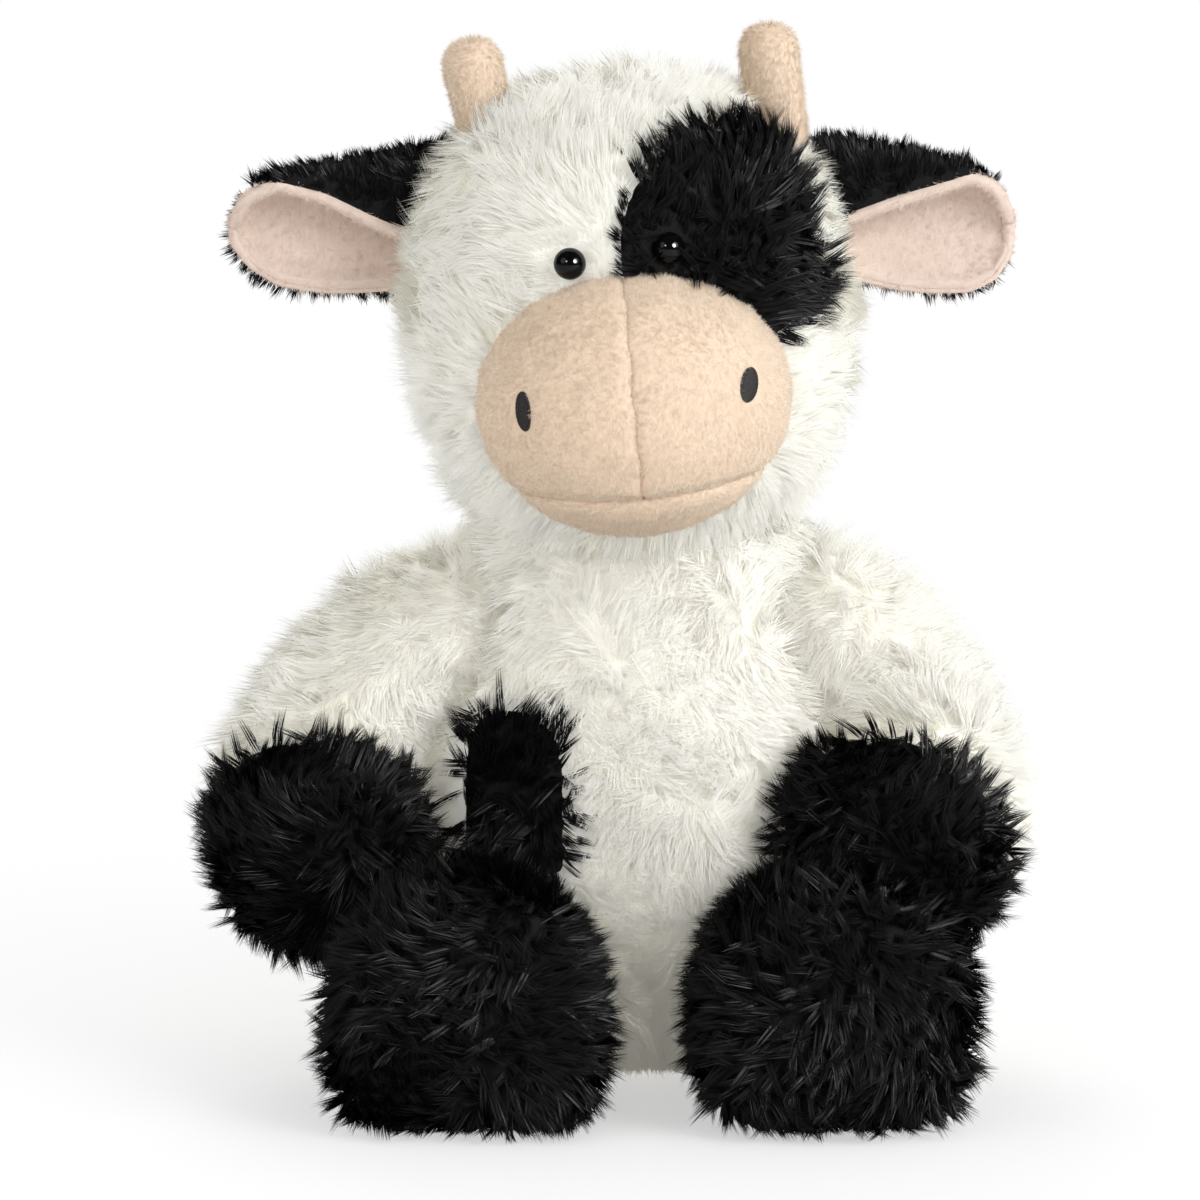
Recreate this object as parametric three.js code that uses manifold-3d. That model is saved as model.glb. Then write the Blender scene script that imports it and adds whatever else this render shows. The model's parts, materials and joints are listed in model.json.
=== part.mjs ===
// Plush cow, sitting, with long shaggy pile. Millimetres, +Z up.
// The toy faces -Y and its own left side is +X. The origin is on the floor, in the middle of its flat seat.
// Every soft surface here is the firm surface that a hand feels under the tips of the pile.

import * as THREE from "three";
import { ConvexGeometry } from "three/addons/geometries/ConvexGeometry.js";
import { mergeVertices } from "three/addons/utils/BufferGeometryUtils.js";
import Module from "manifold-3d";

const wasm = await Module();
wasm.setup();

// Walls and clearances
const plushWall = 4;
const velourWall = 2;
const seamGap = 0.35;
const turningGap = 0.7;
const overrun = 40;

// Fineness of the facets
const bodySides = 20;
const bodyRings = 10;
const limbSides = 12;
const legSides = 16;
const limbSteps = 5;
const capSteps = 3;
const smallSides = 12;
const mouthSides = 80;
const socketDetail = 3;
const hornSteps = 3;
const eyeSteps = 4;

// Torso: a pear that stands on its flat seat and ends at the neck seam
const torso = {
  halfWidth: 85,
  halfDepth: 62,
  neckHeight: 157,
  radiusShares: [0.7, 0.92, 1, 0.975, 0.875, 0.71, 0.57],
  heightShares: [0, 0.07, 0.21, 0.36, 0.56, 0.79, 1],
};
const pouch = { halfWidth: 40, halfDepth: 28, height: 15, behindCentre: 22 };
const bellyPatch = { beside: -36, halfWidth: 13.5, height: 44, aboveThigh: 2, behindFront: 30 };

// Head: its own frame stands on the middle of the neck seam and leans to the toy's right
const head = {
  neckBeside: 1.5,
  lean: THREE.MathUtils.degToRad(5),
  halfWidth: 64,
  halfDepth: 58,
  widestAt: 60,
  crownAbove: 70,
  cheekBelow: 82,
  forward: 4,
  acrossPower: 2.2,
  crownPower: 2.6,
  cheekPower: 1.7,
};
const eyePatch = { beside: 29, above: 83.5, halfWidth: 29, halfHeight: 30 };
const muzzle = { halfWidth: 45.2, halfDepth: 38, halfHeight: 39.4, above: 41.9, forward: 50 };
const mouth = { above: 16.7, curveRadius: 220 };
const nostril = { halfWidth: 2.6, halfHeight: 5.4, thickness: 1.1, lean: THREE.MathUtils.degToRad(15) };
const nostrils = {
  right: { beside: -31.3, above: 44.8 },
  left: { beside: 33, above: 46.6 },
};
const eye = { radius: 4.6, domeHeight: 3.8, flange: 0.8, stemRadius: 1.8, stemLength: 13 };
const eyes = {
  right: { beside: -14.6, above: 83 },
  left: { beside: 13.6, above: 85 },
};
const washer = { radius: 6, thickness: 1.6 };
const horn = { baseRadius: 8.5, tipRadius: 8.8, tipRound: 6.5, root: 16, wall: 2 };
const horns = {
  right: { beside: -36.5, tip: 144.7, lean: -2.1 },
  left: { beside: 48, tip: 141.5, lean: -0.75 },
};
const ear = {
  length: 52,
  rootRadius: 4,
  rootHalfHeight: 13,
  bellyHalfHeight: 19,
  bellyThickness: 5.5,
  tipHalfHeight: 11,
  tipThickness: 3.2,
  tipRound: 6,
  liningThickness: 2.2,
  dishDepth: 4.4,
  rimShare: 0.72,
  swing: 35,
};
const ears = {
  right: { above: 95, droop: 0 },
  left: { above: 80, droop: 3 },
};

// Arms: the middle line from shoulder to hoof, in shares of the torso's half width, half depth and height
const arm = {
  rootRadius: 26,
  elbowRadius: 27,
  hoofRadius: { right: 29.5, left: 33 },
  endRound: 24,
  cuffShares: { right: 0.79, left: 0.86 },
  raise: 60,
  socketShare: 1,
};
const armPlaceShares = {
  right: [
    [-0.59, 0, 0.785],
    [-0.83, -0.08, 0.72],
    [-1.055, -0.27, 0.59],
    [-1.115, -0.58, 0.485],
    [-1.08, -0.855, 0.42],
  ],
  left: [
    [0.59, 0, 0.785],
    [0.765, -0.08, 0.715],
    [0.93, -0.28, 0.58],
    [0.93, -0.57, 0.485],
    [0.825, -0.88, 0.425],
  ],
};

// Legs lie forward on the floor, from hips in the front of the torso to flat-fronted feet
const leg = {
  rootRadius: 28,
  footRadius: { right: 37, left: 37.5 },
  sagPower: 5,
  length: 82,
  rootLift: 4,
  soleFlat: 1,
  endRound: 16,
  cuffShare: 0.35,
  drop: 60,
  socketShare: 0.68,
  socketSwellShare: 1.13,
  hipBackShare: -0.485,
  hipBesideShares: { right: -0.54, left: 0.555 },
  splay: { right: 3.5, left: 6.5 },
};
const tail = {
  rootRadius: 6.5,
  tuftRadius: 9,
  length: 36,
  standOff: 13,
  rootShares: [0, 1.03, 0.395],
  besideSwing: 40,
  endRound: 8,
  cuffShare: 0.6,
};
const tailPlaceShares = [[0, 0], [0.5, 0.25], [0.85, 0.6], [1, 1]];

// Materials
const paint = (color, roughness) => new THREE.MeshStandardMaterial({ color, roughness, metalness: 0 });
const whitePlush = paint(0xf0efe9, 0.95);
const blackPlush = paint(0x17171a, 0.9);
const peachVelour = paint(0xf0cdb2, 0.85);
const pinkVelour = paint(0xe6c8bd, 0.85);
const greyThread = paint(0x55504f, 0.6);
const blackGloss = paint(0x0b0b0c, 0.12);
const clearNylon = paint(0xd9d9d6, 0.45);
const fibreFill = paint(0xf7f7f5, 1);
const pouchCloth = paint(0xe9e6dd, 0.9);

// Solids and meshes
const toSolid = (geometry) => {
  const bare = geometry.clone();
  bare.deleteAttribute("normal");
  bare.deleteAttribute("uv");
  const merged = mergeVertices(bare);
  const vertProperties = merged.getAttribute("position").array;
  const triVerts = new Uint32Array(merged.getIndex().array);
  return new wasm.Manifold(new wasm.Mesh({ numProp: 3, vertProperties, triVerts }));
};

const toGeometry = (solid) => {
  const { vertProperties, triVerts } = solid.getMesh();
  const geometry = new THREE.BufferGeometry();
  geometry.setAttribute("position", new THREE.BufferAttribute(vertProperties, 3));
  geometry.setIndex(new THREE.BufferAttribute(triVerts, 1));
  geometry.computeVertexNormals();
  return geometry;
};

const addPiece = (group, name, solid, material) => {
  const piece = new THREE.Mesh(toGeometry(solid), material);
  piece.name = name;
  group.add(piece);
};

// A closed skin over rings of points that run along an axis, each ring turning right-handed about it
const skin = (start, rings, end) => {
  const sides = rings[0].length;
  const positions = [start, ...rings.flat(), end].flatMap((point) => point.toArray());
  const index = (ring, side) => 1 + ring * sides + (side % sides);
  const last = rings.length - 1;
  const faces = [];
  for (let side = 0; side < sides; side += 1) {
    faces.push(0, index(0, side + 1), index(0, side));
    for (let ring = 0; ring < last; ring += 1) {
      faces.push(index(ring, side), index(ring, side + 1), index(ring + 1, side));
      faces.push(index(ring, side + 1), index(ring + 1, side + 1), index(ring + 1, side));
    }
    faces.push(1 + rings.length * sides, index(last, side), index(last, side + 1));
  }
  const geometry = new THREE.BufferGeometry();
  geometry.setAttribute("position", new THREE.Float32BufferAttribute(positions, 3));
  geometry.setIndex(faces);
  return geometry;
};

// The smooth middle line of a limb
const spineOf = (stations) => new THREE.CatmullRomCurve3(stations.map(({ at }) => new THREE.Vector3(...at)));

// A stuffed tube: oval rings along its stations and a rounded cap at each end.
// A station gives one radius, or its half width across and half height tall. grow moves the surface outwards.
// Where a station has a sag, the lower half of its ring is a superellipse of that power, squarer than a round.
const stuffedTube = ({ stations, up, startRound, endRound, sides, steps, grow }) => {
  const spine = spineOf(stations);
  const across = stations.map((station) => (station.across ?? station.radius) + grow);
  const tall = stations.map((station) => (station.tall ?? station.radius) + grow);
  const sags = stations.map((station) => station.sag ?? 2);
  const sizeAt = (values, share) => {
    const place = share * (values.length - 1);
    const first = Math.min(Math.floor(place), values.length - 2);
    return THREE.MathUtils.lerp(values[first], values[first + 1], place - first);
  };
  const ringAt = (share, along, shrink) => {
    const forward = spine.getTangent(share);
    const middle = spine.getPoint(share).addScaledVector(forward, along);
    const side = new THREE.Vector3().crossVectors(up, forward).normalize();
    const rise = new THREE.Vector3().crossVectors(forward, side);
    return Array.from({ length: sides }, (_, step) => {
      const angle = (2 * Math.PI * step) / sides;
      const power = Math.sin(angle) < 0 ? sizeAt(sags, share) : 2;
      const spread = Math.abs(Math.cos(angle)) ** power + Math.abs(Math.sin(angle)) ** power;
      const reach = shrink / spread ** (1 / power);
      return middle
        .clone()
        .addScaledVector(side, Math.cos(angle) * reach * sizeAt(across, share))
        .addScaledVector(rise, Math.sin(angle) * reach * sizeAt(tall, share));
    });
  };
  const rings = [];
  for (let step = capSteps - 1; step > 0; step -= 1) {
    const angle = (Math.PI / 2) * (step / capSteps);
    rings.push(ringAt(0, -(startRound + grow) * Math.sin(angle), Math.cos(angle)));
  }
  for (let step = 0; step <= steps; step += 1) {
    rings.push(ringAt(step / steps, 0, 1));
  }
  for (let step = 1; step < capSteps; step += 1) {
    const angle = (Math.PI / 2) * (step / capSteps);
    rings.push(ringAt(1, (endRound + grow) * Math.sin(angle), Math.cos(angle)));
  }
  const start = spine.getPoint(0).addScaledVector(spine.getTangent(0), -(startRound + grow));
  const end = spine.getPoint(1).addScaledVector(spine.getTangent(1), endRound + grow);
  return toSolid(skin(start, rings, end));
};

// An upright body of revolution with an oval plan, from a profile of points [radius, height]
const ovalBody = (profile, depthShare) => {
  const points = profile.map(([radius, height]) => new THREE.Vector2(radius, height));
  const geometry = new THREE.LatheGeometry(points, bodySides);
  geometry.rotateX(Math.PI / 2);
  geometry.scale(1, depthShare, 1);
  return toSolid(geometry);
};

const ellipsoid = (halfSizes, centre, sides) => {
  const geometry = new THREE.SphereGeometry(1, sides, sides / 2);
  geometry.scale(...halfSizes);
  geometry.translate(...centre);
  return toSolid(geometry);
};

// An oval bar that runs from behind the face or belly out through its front
const frontBar = ({ beside, above, halfWidth, halfHeight, lean = 0 }, behind, sides) => {
  const geometry = new THREE.CylinderGeometry(1, 1, 1, sides);
  const length = muzzle.forward + muzzle.halfDepth + overrun;
  geometry.scale(halfWidth, length, halfHeight);
  geometry.rotateY(-lean);
  geometry.translate(beside, behind - length / 2, above);
  return toSolid(geometry);
};

const join = (solids) => solids.reduce((whole, solid) => whole.add(solid));

// A solid turned about an axis through a pivot
const turned = (solid, pivot, axis, degrees) => {
  const place = new THREE.Matrix4().makeTranslation(...pivot);
  const turn = new THREE.Matrix4().makeRotationAxis(axis, THREE.MathUtils.degToRad(degrees));
  const back = new THREE.Matrix4().copy(place).invert();
  return solid.transform(place.multiply(turn).multiply(back).toArray());
};

// The room that a round limb takes as it swings about its joint: a ball at the joint, drawn out over the swing.
// reaches are the places on the limb's middle line, from rest to the end of its range. The limb has one radius
// at its joint and another at its reach.
const swingRoom = (pivot, reaches, pivotRadius, reachRadius) => {
  const ball = new THREE.IcosahedronGeometry(1, socketDetail);
  ball.deleteAttribute("normal");
  ball.deleteAttribute("uv");
  const loose = ball.getAttribute("position");
  const cornerAt = (corner) => new THREE.Vector3().fromBufferAttribute(loose, corner);
  const faceDepths = Array.from({ length: loose.count / 3 }, (_, face) =>
    cornerAt(3 * face).add(cornerAt(3 * face + 1)).add(cornerAt(3 * face + 2)).length() / 3,
  );
  const clearOfFaces = 1 / Math.min(...faceDepths);
  const corners = mergeVertices(ball).getAttribute("position");
  const ballAt = (middle, radius) =>
    Array.from({ length: corners.count }, (_, corner) =>
      new THREE.Vector3()
        .fromBufferAttribute(corners, corner)
        .multiplyScalar(clearOfFaces * radius)
        .add(middle),
    );
  const reachBalls = reaches.flatMap((middle) => ballAt(middle, reachRadius));
  return toSolid(new ConvexGeometry([...ballAt(pivot, pivotRadius), ...reachBalls]));
};

// Where a swing carries a place on a limb, at its first angle, half way and at its last
const swingOf = (pivot, place, axis, [first, last]) =>
  [first, (first + last) / 2, last].map((angle) =>
    place.clone().sub(pivot).applyAxisAngle(axis, THREE.MathUtils.degToRad(angle)).add(pivot),
  );

const xAxis = new THREE.Vector3(1, 0, 0);
const yAxis = new THREE.Vector3(0, 1, 0);
const zAxis = new THREE.Vector3(0, 0, 1);
const sides = ["right", "left"];

// Middle lines and radii of the limbs, from the joint outwards
const inTorso = ([across, back, up]) => [
  across * torso.halfWidth,
  back * torso.halfDepth,
  up * torso.neckHeight,
];
const outwardOf = { right: -1, left: 1 };

const armStations = (side) => {
  const { rootRadius, elbowRadius, hoofRadius } = arm;
  const radii = [rootRadius, elbowRadius, elbowRadius, hoofRadius[side], hoofRadius[side]];
  return armPlaceShares[side].map((shares, place) => ({ at: inTorso(shares), radius: radii[place] }));
};

const legStations = (side) =>
  [0, 1 / 3, 2 / 3, 1].map((share) => {
    const footRadius = leg.footRadius[side];
    const radius = THREE.MathUtils.lerp(leg.rootRadius, footRadius, share ** 3);
    const beside = leg.hipBesideShares[side] * torso.halfWidth + outwardOf[side] * share * leg.splay[side];
    const back = leg.hipBackShare * torso.halfDepth - share * leg.length;
    const up = THREE.MathUtils.lerp(leg.rootRadius + leg.rootLift, footRadius - leg.soleFlat, share);
    const sag = THREE.MathUtils.lerp(2, leg.sagPower, share ** 3);
    return { at: [beside, back, up], radius, sag };
  });

const tailStations = tailPlaceShares.map(([out, down]) => {
  const [beside, back, up] = inTorso(tail.rootShares);
  const radius = THREE.MathUtils.lerp(tail.rootRadius, tail.tuftRadius, down ** 3);
  return { at: [beside, back + out * tail.standOff, up - down * tail.length], radius };
});

// Limbs as plain solids, before anything is cut from them
const roundTube = (stations, endRound, grow, up = zAxis, around = limbSides) => {
  const startRound = stations[0].radius;
  return stuffedTube({ stations, up, startRound, endRound, sides: around, steps: limbSteps, grow });
};
const armTube = (side, grow) => roundTube(armStations(side), arm.endRound, grow);
const legTube = (side, grow) => roundTube(legStations(side), leg.endRound, grow, zAxis, legSides);
const tailTube = roundTube(tailStations, tail.endRound, 0, xAxis, smallSides);

// The room that each limb takes in the torso as it turns in its joint
const roomFor = ([root, next], axis, swing, lengthShare, grow) => {
  const pivot = new THREE.Vector3(...root.at);
  const reach = new THREE.Vector3(...next.at).sub(pivot).multiplyScalar(lengthShare).add(pivot);
  return swingRoom(pivot, swingOf(pivot, reach, axis, swing), root.radius + grow, next.radius + grow);
};
const shoulderRoom = (side, grow) => {
  const [shoulder, upperArm] = armStations(side);
  const root = { ...shoulder, radius: upperArm.radius };
  return roomFor([root, upperArm], yAxis, [0, -outwardOf[side] * arm.raise], arm.socketShare, grow);
};
const hipRoom = (side, grow) => {
  const [hip, , , foot] = legStations(side);
  const reach = { ...foot, radius: hip.radius * leg.socketSwellShare };
  return roomFor([hip, reach], xAxis, [0, leg.drop], leg.socketShare, grow);
};
const tailRoom = (grow) =>
  roomFor(tailStations, yAxis, [-tail.besideSwing, tail.besideSwing], 1, grow);

// Torso solid at a depth under its outer surface
const torsoPear = (grow) => {
  const outline = torso.radiusShares.map(
    (share, place) =>
      new THREE.Vector2(share * torso.halfWidth + grow, torso.heightShares[place] * torso.neckHeight),
  );
  const profile = new THREE.SplineCurve(outline).getPoints(bodyRings).map(({ x, y }) => [x, y]);
  const [seatRadius] = profile[0];
  const [neckRadius, neckHeight] = profile[bodyRings];
  const closed = [[0, -overrun], [seatRadius, -overrun], ...profile, [neckRadius, neckHeight + overrun]];
  return ovalBody([...closed, [0, neckHeight + overrun]], torso.halfDepth / torso.halfWidth);
};

const torsoAt = (depth, floor, ceiling) => {
  const rooms = sides.flatMap((side) => [
    shoulderRoom(side, turningGap + depth),
    hipRoom(side, turningGap + depth),
  ]);
  return torsoPear(-depth)
    .subtract(join([...rooms, tailRoom(turningGap + depth)]))
    .trimByPlane([0, 0, 1], floor)
    .trimByPlane([0, 0, -1], -ceiling);
};

const neckTop = torso.neckHeight - turningGap / 2;
const stuffingDepth = plushWall + seamGap;
const torsoOuter = torsoAt(0, 0, neckTop);
const torsoCover = torsoOuter.subtract(torsoAt(plushWall, plushWall, neckTop + overrun));
const torsoFill = torsoAt(stuffingDepth, stuffingDepth, neckTop);

const pouchAt = (grow) =>
  ellipsoid(
    [pouch.halfWidth + grow, pouch.halfDepth + grow, pouch.height + grow],
    [0, pouch.behindCentre, stuffingDepth],
    bodySides,
  );

// The belly patch is an arched panel let into the cover
const patchArch = (grow) => {
  const { beside, halfWidth, height, aboveThigh } = bellyPatch;
  const bottom = leg.rootLift + leg.rootRadius + leg.rootRadius + aboveThigh;
  const top = bottom + height;
  const shape = new THREE.Shape();
  shape.moveTo(beside - halfWidth - grow, bottom - grow);
  shape.lineTo(beside + halfWidth + grow, bottom - grow);
  shape.lineTo(beside + halfWidth + grow, top - halfWidth);
  shape.absarc(beside, top - halfWidth, halfWidth + grow, 0, Math.PI, false);
  const geometry = new THREE.ExtrudeGeometry(shape, {
    depth: overrun + bellyPatch.behindFront,
    bevelEnabled: false,
    curveSegments: smallSides,
  });
  geometry.rotateX(Math.PI / 2);
  geometry.translate(0, bellyPatch.behindFront - torso.halfDepth, 0);
  return toSolid(geometry);
};

const part = new THREE.Group();
addPiece(part, "torso_cover", torsoCover.subtract(patchArch(seamGap)), whitePlush);
addPiece(part, "belly_patch", torsoCover.intersect(patchArch(0)), blackPlush);
addPiece(part, "torso_stuffing", torsoFill.subtract(pouchAt(seamGap)), fibreFill);
addPiece(part, "seat_pellet_pouch", torsoFill.intersect(pouchAt(0)), pouchCloth);

// Limbs: a white sleeve, a black end and the stuffing that runs through both
const cuffOf = (stations, share) => {
  const spine = spineOf(stations);
  return { point: spine.getPointAt(share), normal: spine.getTangentAt(share) };
};

const addLimb = (names, at, cuff) => {
  const shell = at(0).subtract(at(plushWall));
  const offset = cuff.normal.dot(cuff.point);
  const outwards = cuff.normal.toArray();
  const inwards = cuff.normal.clone().negate().toArray();
  addPiece(part, names.sleeve, shell.trimByPlane(inwards, seamGap / 2 - offset), whitePlush);
  addPiece(part, names.end, shell.trimByPlane(outwards, seamGap / 2 + offset), blackPlush);
  addPiece(part, names.stuffing, at(stuffingDepth), fibreFill);
};

for (const side of sides) {
  const legAt = (depth) => legTube(side, -depth).trimByPlane([0, 0, 1], depth);
  const names = {
    sleeve: `leg_${side}_thigh`,
    end: `leg_${side}_foot`,
    stuffing: `leg_${side}_stuffing`,
  };
  addLimb(names, legAt, cuffOf(legStations(side), leg.cuffShare));
}

for (const side of sides) {
  const armAt = (depth) => {
    const torsoSide = torsoPear(turningGap + depth).subtract(shoulderRoom(side, turningGap - depth));
    const thigh = legTube(side, turningGap + depth).add(hipRoom(side, turningGap + depth));
    return armTube(side, -depth).subtract(torsoSide).subtract(thigh);
  };
  const names = {
    sleeve: `arm_${side}_sleeve`,
    end: `arm_${side}_hoof`,
    stuffing: `arm_${side}_stuffing`,
  };
  addLimb(names, armAt, cuffOf(armStations(side), arm.cuffShares[side]));
}

const tailCuff = cuffOf(tailStations, tail.cuffShare);
const tailOffset = tailCuff.normal.dot(tailCuff.point);
const tailUpwards = tailCuff.normal.clone().negate().toArray();
addPiece(part, "tail_sleeve", tailTube.trimByPlane(tailUpwards, seamGap / 2 - tailOffset), whitePlush);
addPiece(
  part,
  "tail_tuft",
  tailTube.trimByPlane(tailCuff.normal.toArray(), seamGap / 2 + tailOffset),
  blackPlush,
);

// Head frame
const headGroup = new THREE.Group();
headGroup.position.set(head.neckBeside, 0, torso.neckHeight);
headGroup.rotation.y = -head.lean;
part.add(headGroup);
const neckPlane = [Math.sin(head.lean), 0, Math.cos(head.lean)];

// Radius of the head's plan at a height, and the place of its face there
const headRadius = (above) => {
  const [reach, power] =
    above > head.widestAt ? [head.crownAbove, head.crownPower] : [head.cheekBelow, head.cheekPower];
  const share = Math.abs(above - head.widestAt) / reach;
  return head.halfWidth * (1 - share ** power) ** (1 / head.acrossPower);
};
const headDepthShare = head.halfDepth / head.halfWidth;
const faceAt = (beside, above) =>
  -head.forward - headDepthShare * Math.sqrt(headRadius(above) ** 2 - beside ** 2);

const headEgg = (grow) => {
  const profile = Array.from({ length: bodyRings + 1 }, (_, step) => {
    const angle = Math.PI * (step / bodyRings) - Math.PI / 2;
    const reach = (angle > 0 ? head.crownAbove : head.cheekBelow) + grow;
    const power = angle > 0 ? head.crownPower : head.cheekPower;
    const radius = (head.halfWidth + grow) * Math.abs(Math.cos(angle)) ** (2 / head.acrossPower);
    const rise = Math.sign(angle) * reach * Math.abs(Math.sin(angle)) ** (2 / power);
    return [step % bodyRings === 0 ? 0 : radius, head.widestAt + rise];
  });
  return ovalBody(profile, headDepthShare).translate([0, -head.forward, 0]);
};

// Ears: a leaf on an upright hinge seam, with a dish in front that takes the lining
const earRoot = (side) => {
  const out = side === "right" ? -1 : 1;
  return { out, at: [out * headRadius(ears[side].above), -head.forward, ears[side].above] };
};

const earTube = (side, grow, sizeShare = 1, forward = 0) => {
  const { out, at } = earRoot(side);
  const place = (share) => [
    at[0] + out * share * (ear.length - ear.tipRound),
    at[1] - forward,
    at[2] - share * ears[side].droop,
  ];
  const stations = [
    { at: place(0), across: ear.rootRadius, tall: sizeShare * ear.rootHalfHeight },
    { at: place(1 / 3), across: ear.bellyThickness, tall: sizeShare * ear.bellyHalfHeight },
    { at: place(2 / 3), across: ear.bellyThickness, tall: sizeShare * ear.bellyHalfHeight },
    { at: place(1), across: ear.tipThickness, tall: sizeShare * ear.tipHalfHeight },
  ];
  return stuffedTube({
    stations,
    up: zAxis,
    startRound: ear.rootRadius,
    endRound: ear.tipRound,
    sides: smallSides,
    steps: limbSteps,
    grow,
  });
};

// The hinge roll of an ear, and the ear with the room that the head takes as the ear swings
const earRoll = (side, grow) =>
  ellipsoid(
    [ear.rootRadius + grow, ear.rootRadius + grow, ear.rootHalfHeight + grow],
    earRoot(side).at,
    smallSides,
  );
const earBody = (side) => {
  const swings = [-ear.swing, 0, ear.swing];
  const heads = swings.map((angle) => turned(headEgg(turningGap), earRoot(side).at, zAxis, angle));
  return heads.reduce((whole, egg) => whole.subtract(egg), earTube(side, 0)).add(earRoll(side, 0));
};

const headAt = (depth) => {
  const rolls = sides.map((side) => earRoll(side, turningGap + depth));
  return headEgg(-depth).subtract(join(rolls));
};
const openHead = headAt(0).trimByPlane(neckPlane, turningGap / 2);

// Eyes: a domed head, a stem through the cover and a washer that locks it from inside
const eyeFrame = (side) => {
  const { beside, above } = eyes[side];
  const across = faceAt(beside + eye.radius, above) - faceAt(beside - eye.radius, above);
  const up = faceAt(beside, above + eye.radius) - faceAt(beside, above - eye.radius);
  const outwards = new THREE.Vector3(across, -eye.radius - eye.radius, up).normalize();
  const turn = new THREE.Quaternion().setFromUnitVectors(yAxis, outwards);
  const place = new THREE.Vector3(beside, faceAt(beside, above), above);
  return new THREE.Matrix4().compose(place, turn, new THREE.Vector3(1, 1, 1));
};

const turnedProfile = (points, side) => {
  const profile = points.map(([radius, along]) => new THREE.Vector2(radius, along));
  const geometry = new THREE.LatheGeometry(profile, smallSides);
  geometry.applyMatrix4(eyeFrame(side));
  return toSolid(geometry);
};

const eyeSolid = (side) => {
  const base = seamGap;
  const dome = Array.from({ length: eyeSteps + 1 }, (_, step) => {
    const angle = (Math.PI / 2) * (step / eyeSteps);
    const radius = step === eyeSteps ? 0 : eye.radius * Math.cos(angle);
    return [radius, base + eye.flange + eye.domeHeight * Math.sin(angle)];
  });
  const stem = [[0, -eye.stemLength], [eye.stemRadius, -eye.stemLength], [eye.stemRadius, base]];
  return turnedProfile([...stem, [eye.radius, base], ...dome], side);
};

const washerTop = -(plushWall + seamGap);
const washerSolid = (side) =>
  turnedProfile(
    [
      [eye.stemRadius + seamGap, washerTop - washer.thickness],
      [washer.radius, washerTop - washer.thickness],
      [washer.radius, washerTop],
      [eye.stemRadius + seamGap, washerTop],
      [eye.stemRadius + seamGap, washerTop - washer.thickness],
    ],
    side,
  );

const eyeBores = (radius, from, to) =>
  join(sides.map((side) => turnedProfile([[0, from], [radius, from], [radius, to], [0, to]], side)));

const stemBores = eyeBores(eye.stemRadius + seamGap, -eye.stemLength - seamGap, overrun);
const washerBottom = washerTop - washer.thickness - seamGap;
const washerSeats = eyeBores(washer.radius + seamGap, washerBottom, washerTop + seamGap);
const washerBores = eyeBores(washer.radius + seamGap, washerBottom, overrun);

const headShell = openHead.subtract(headAt(plushWall)).subtract(stemBores).subtract(washerSeats);
const patchBar = (grow) =>
  frontBar(
    { ...eyePatch, halfWidth: eyePatch.halfWidth + grow, halfHeight: eyePatch.halfHeight + grow },
    -head.forward,
    bodySides,
  );
const headFill = headAt(stuffingDepth).trimByPlane(neckPlane, turningGap / 2);
addPiece(headGroup, "head_cover", headShell.subtract(patchBar(seamGap)), whitePlush);
addPiece(headGroup, "eye_patch", headShell.intersect(patchBar(0)), blackPlush);
addPiece(headGroup, "head_stuffing", headFill.subtract(stemBores).subtract(washerBores), fibreFill);

for (const side of sides) {
  addPiece(headGroup, `eye_${side}`, eyeSolid(side), blackGloss);
  addPiece(headGroup, `eye_washer_${side}`, washerSolid(side), clearNylon);
}

// Muzzle: two cheek panels and a chin panel round their own stuffing, sewn to the face
const muzzleEgg = (grow) =>
  ellipsoid(
    [muzzle.halfWidth + grow, muzzle.halfDepth + grow, muzzle.halfHeight + grow],
    [0, -muzzle.forward, muzzle.above],
    bodySides,
  );
const face = headEgg(seamGap).add(join(sides.map(eyeSolid)));
const muzzleShell = muzzleEgg(0).subtract(muzzleEgg(-velourWall)).subtract(face);
const mouthRoll = (grow) =>
  frontBar(
    {
      beside: 0,
      above: mouth.above + mouth.curveRadius,
      halfWidth: mouth.curveRadius + grow,
      halfHeight: mouth.curveRadius + grow,
    },
    -head.forward,
    mouthSides,
  );
const muzzleUpper = muzzleShell.intersect(mouthRoll(-seamGap / 2));
addPiece(headGroup, "muzzle_right_panel", muzzleUpper.trimByPlane([-1, 0, 0], seamGap / 2), peachVelour);
addPiece(headGroup, "muzzle_left_panel", muzzleUpper.trimByPlane([1, 0, 0], seamGap / 2), peachVelour);
addPiece(headGroup, "muzzle_chin_panel", muzzleShell.subtract(mouthRoll(seamGap / 2)), peachVelour);
addPiece(headGroup, "muzzle_stuffing", muzzleEgg(-velourWall - seamGap).subtract(face), fibreFill);

for (const side of sides) {
  const out = side === "right" ? -1 : 1;
  const oval = { ...nostril, ...nostrils[side], lean: out * nostril.lean };
  const bar = frontBar(oval, -muzzle.forward, smallSides);
  const pad = muzzleEgg(seamGap + nostril.thickness).subtract(muzzleEgg(seamGap));
  addPiece(headGroup, `nostril_${side}`, pad.intersect(bar), greyThread);
}

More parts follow.
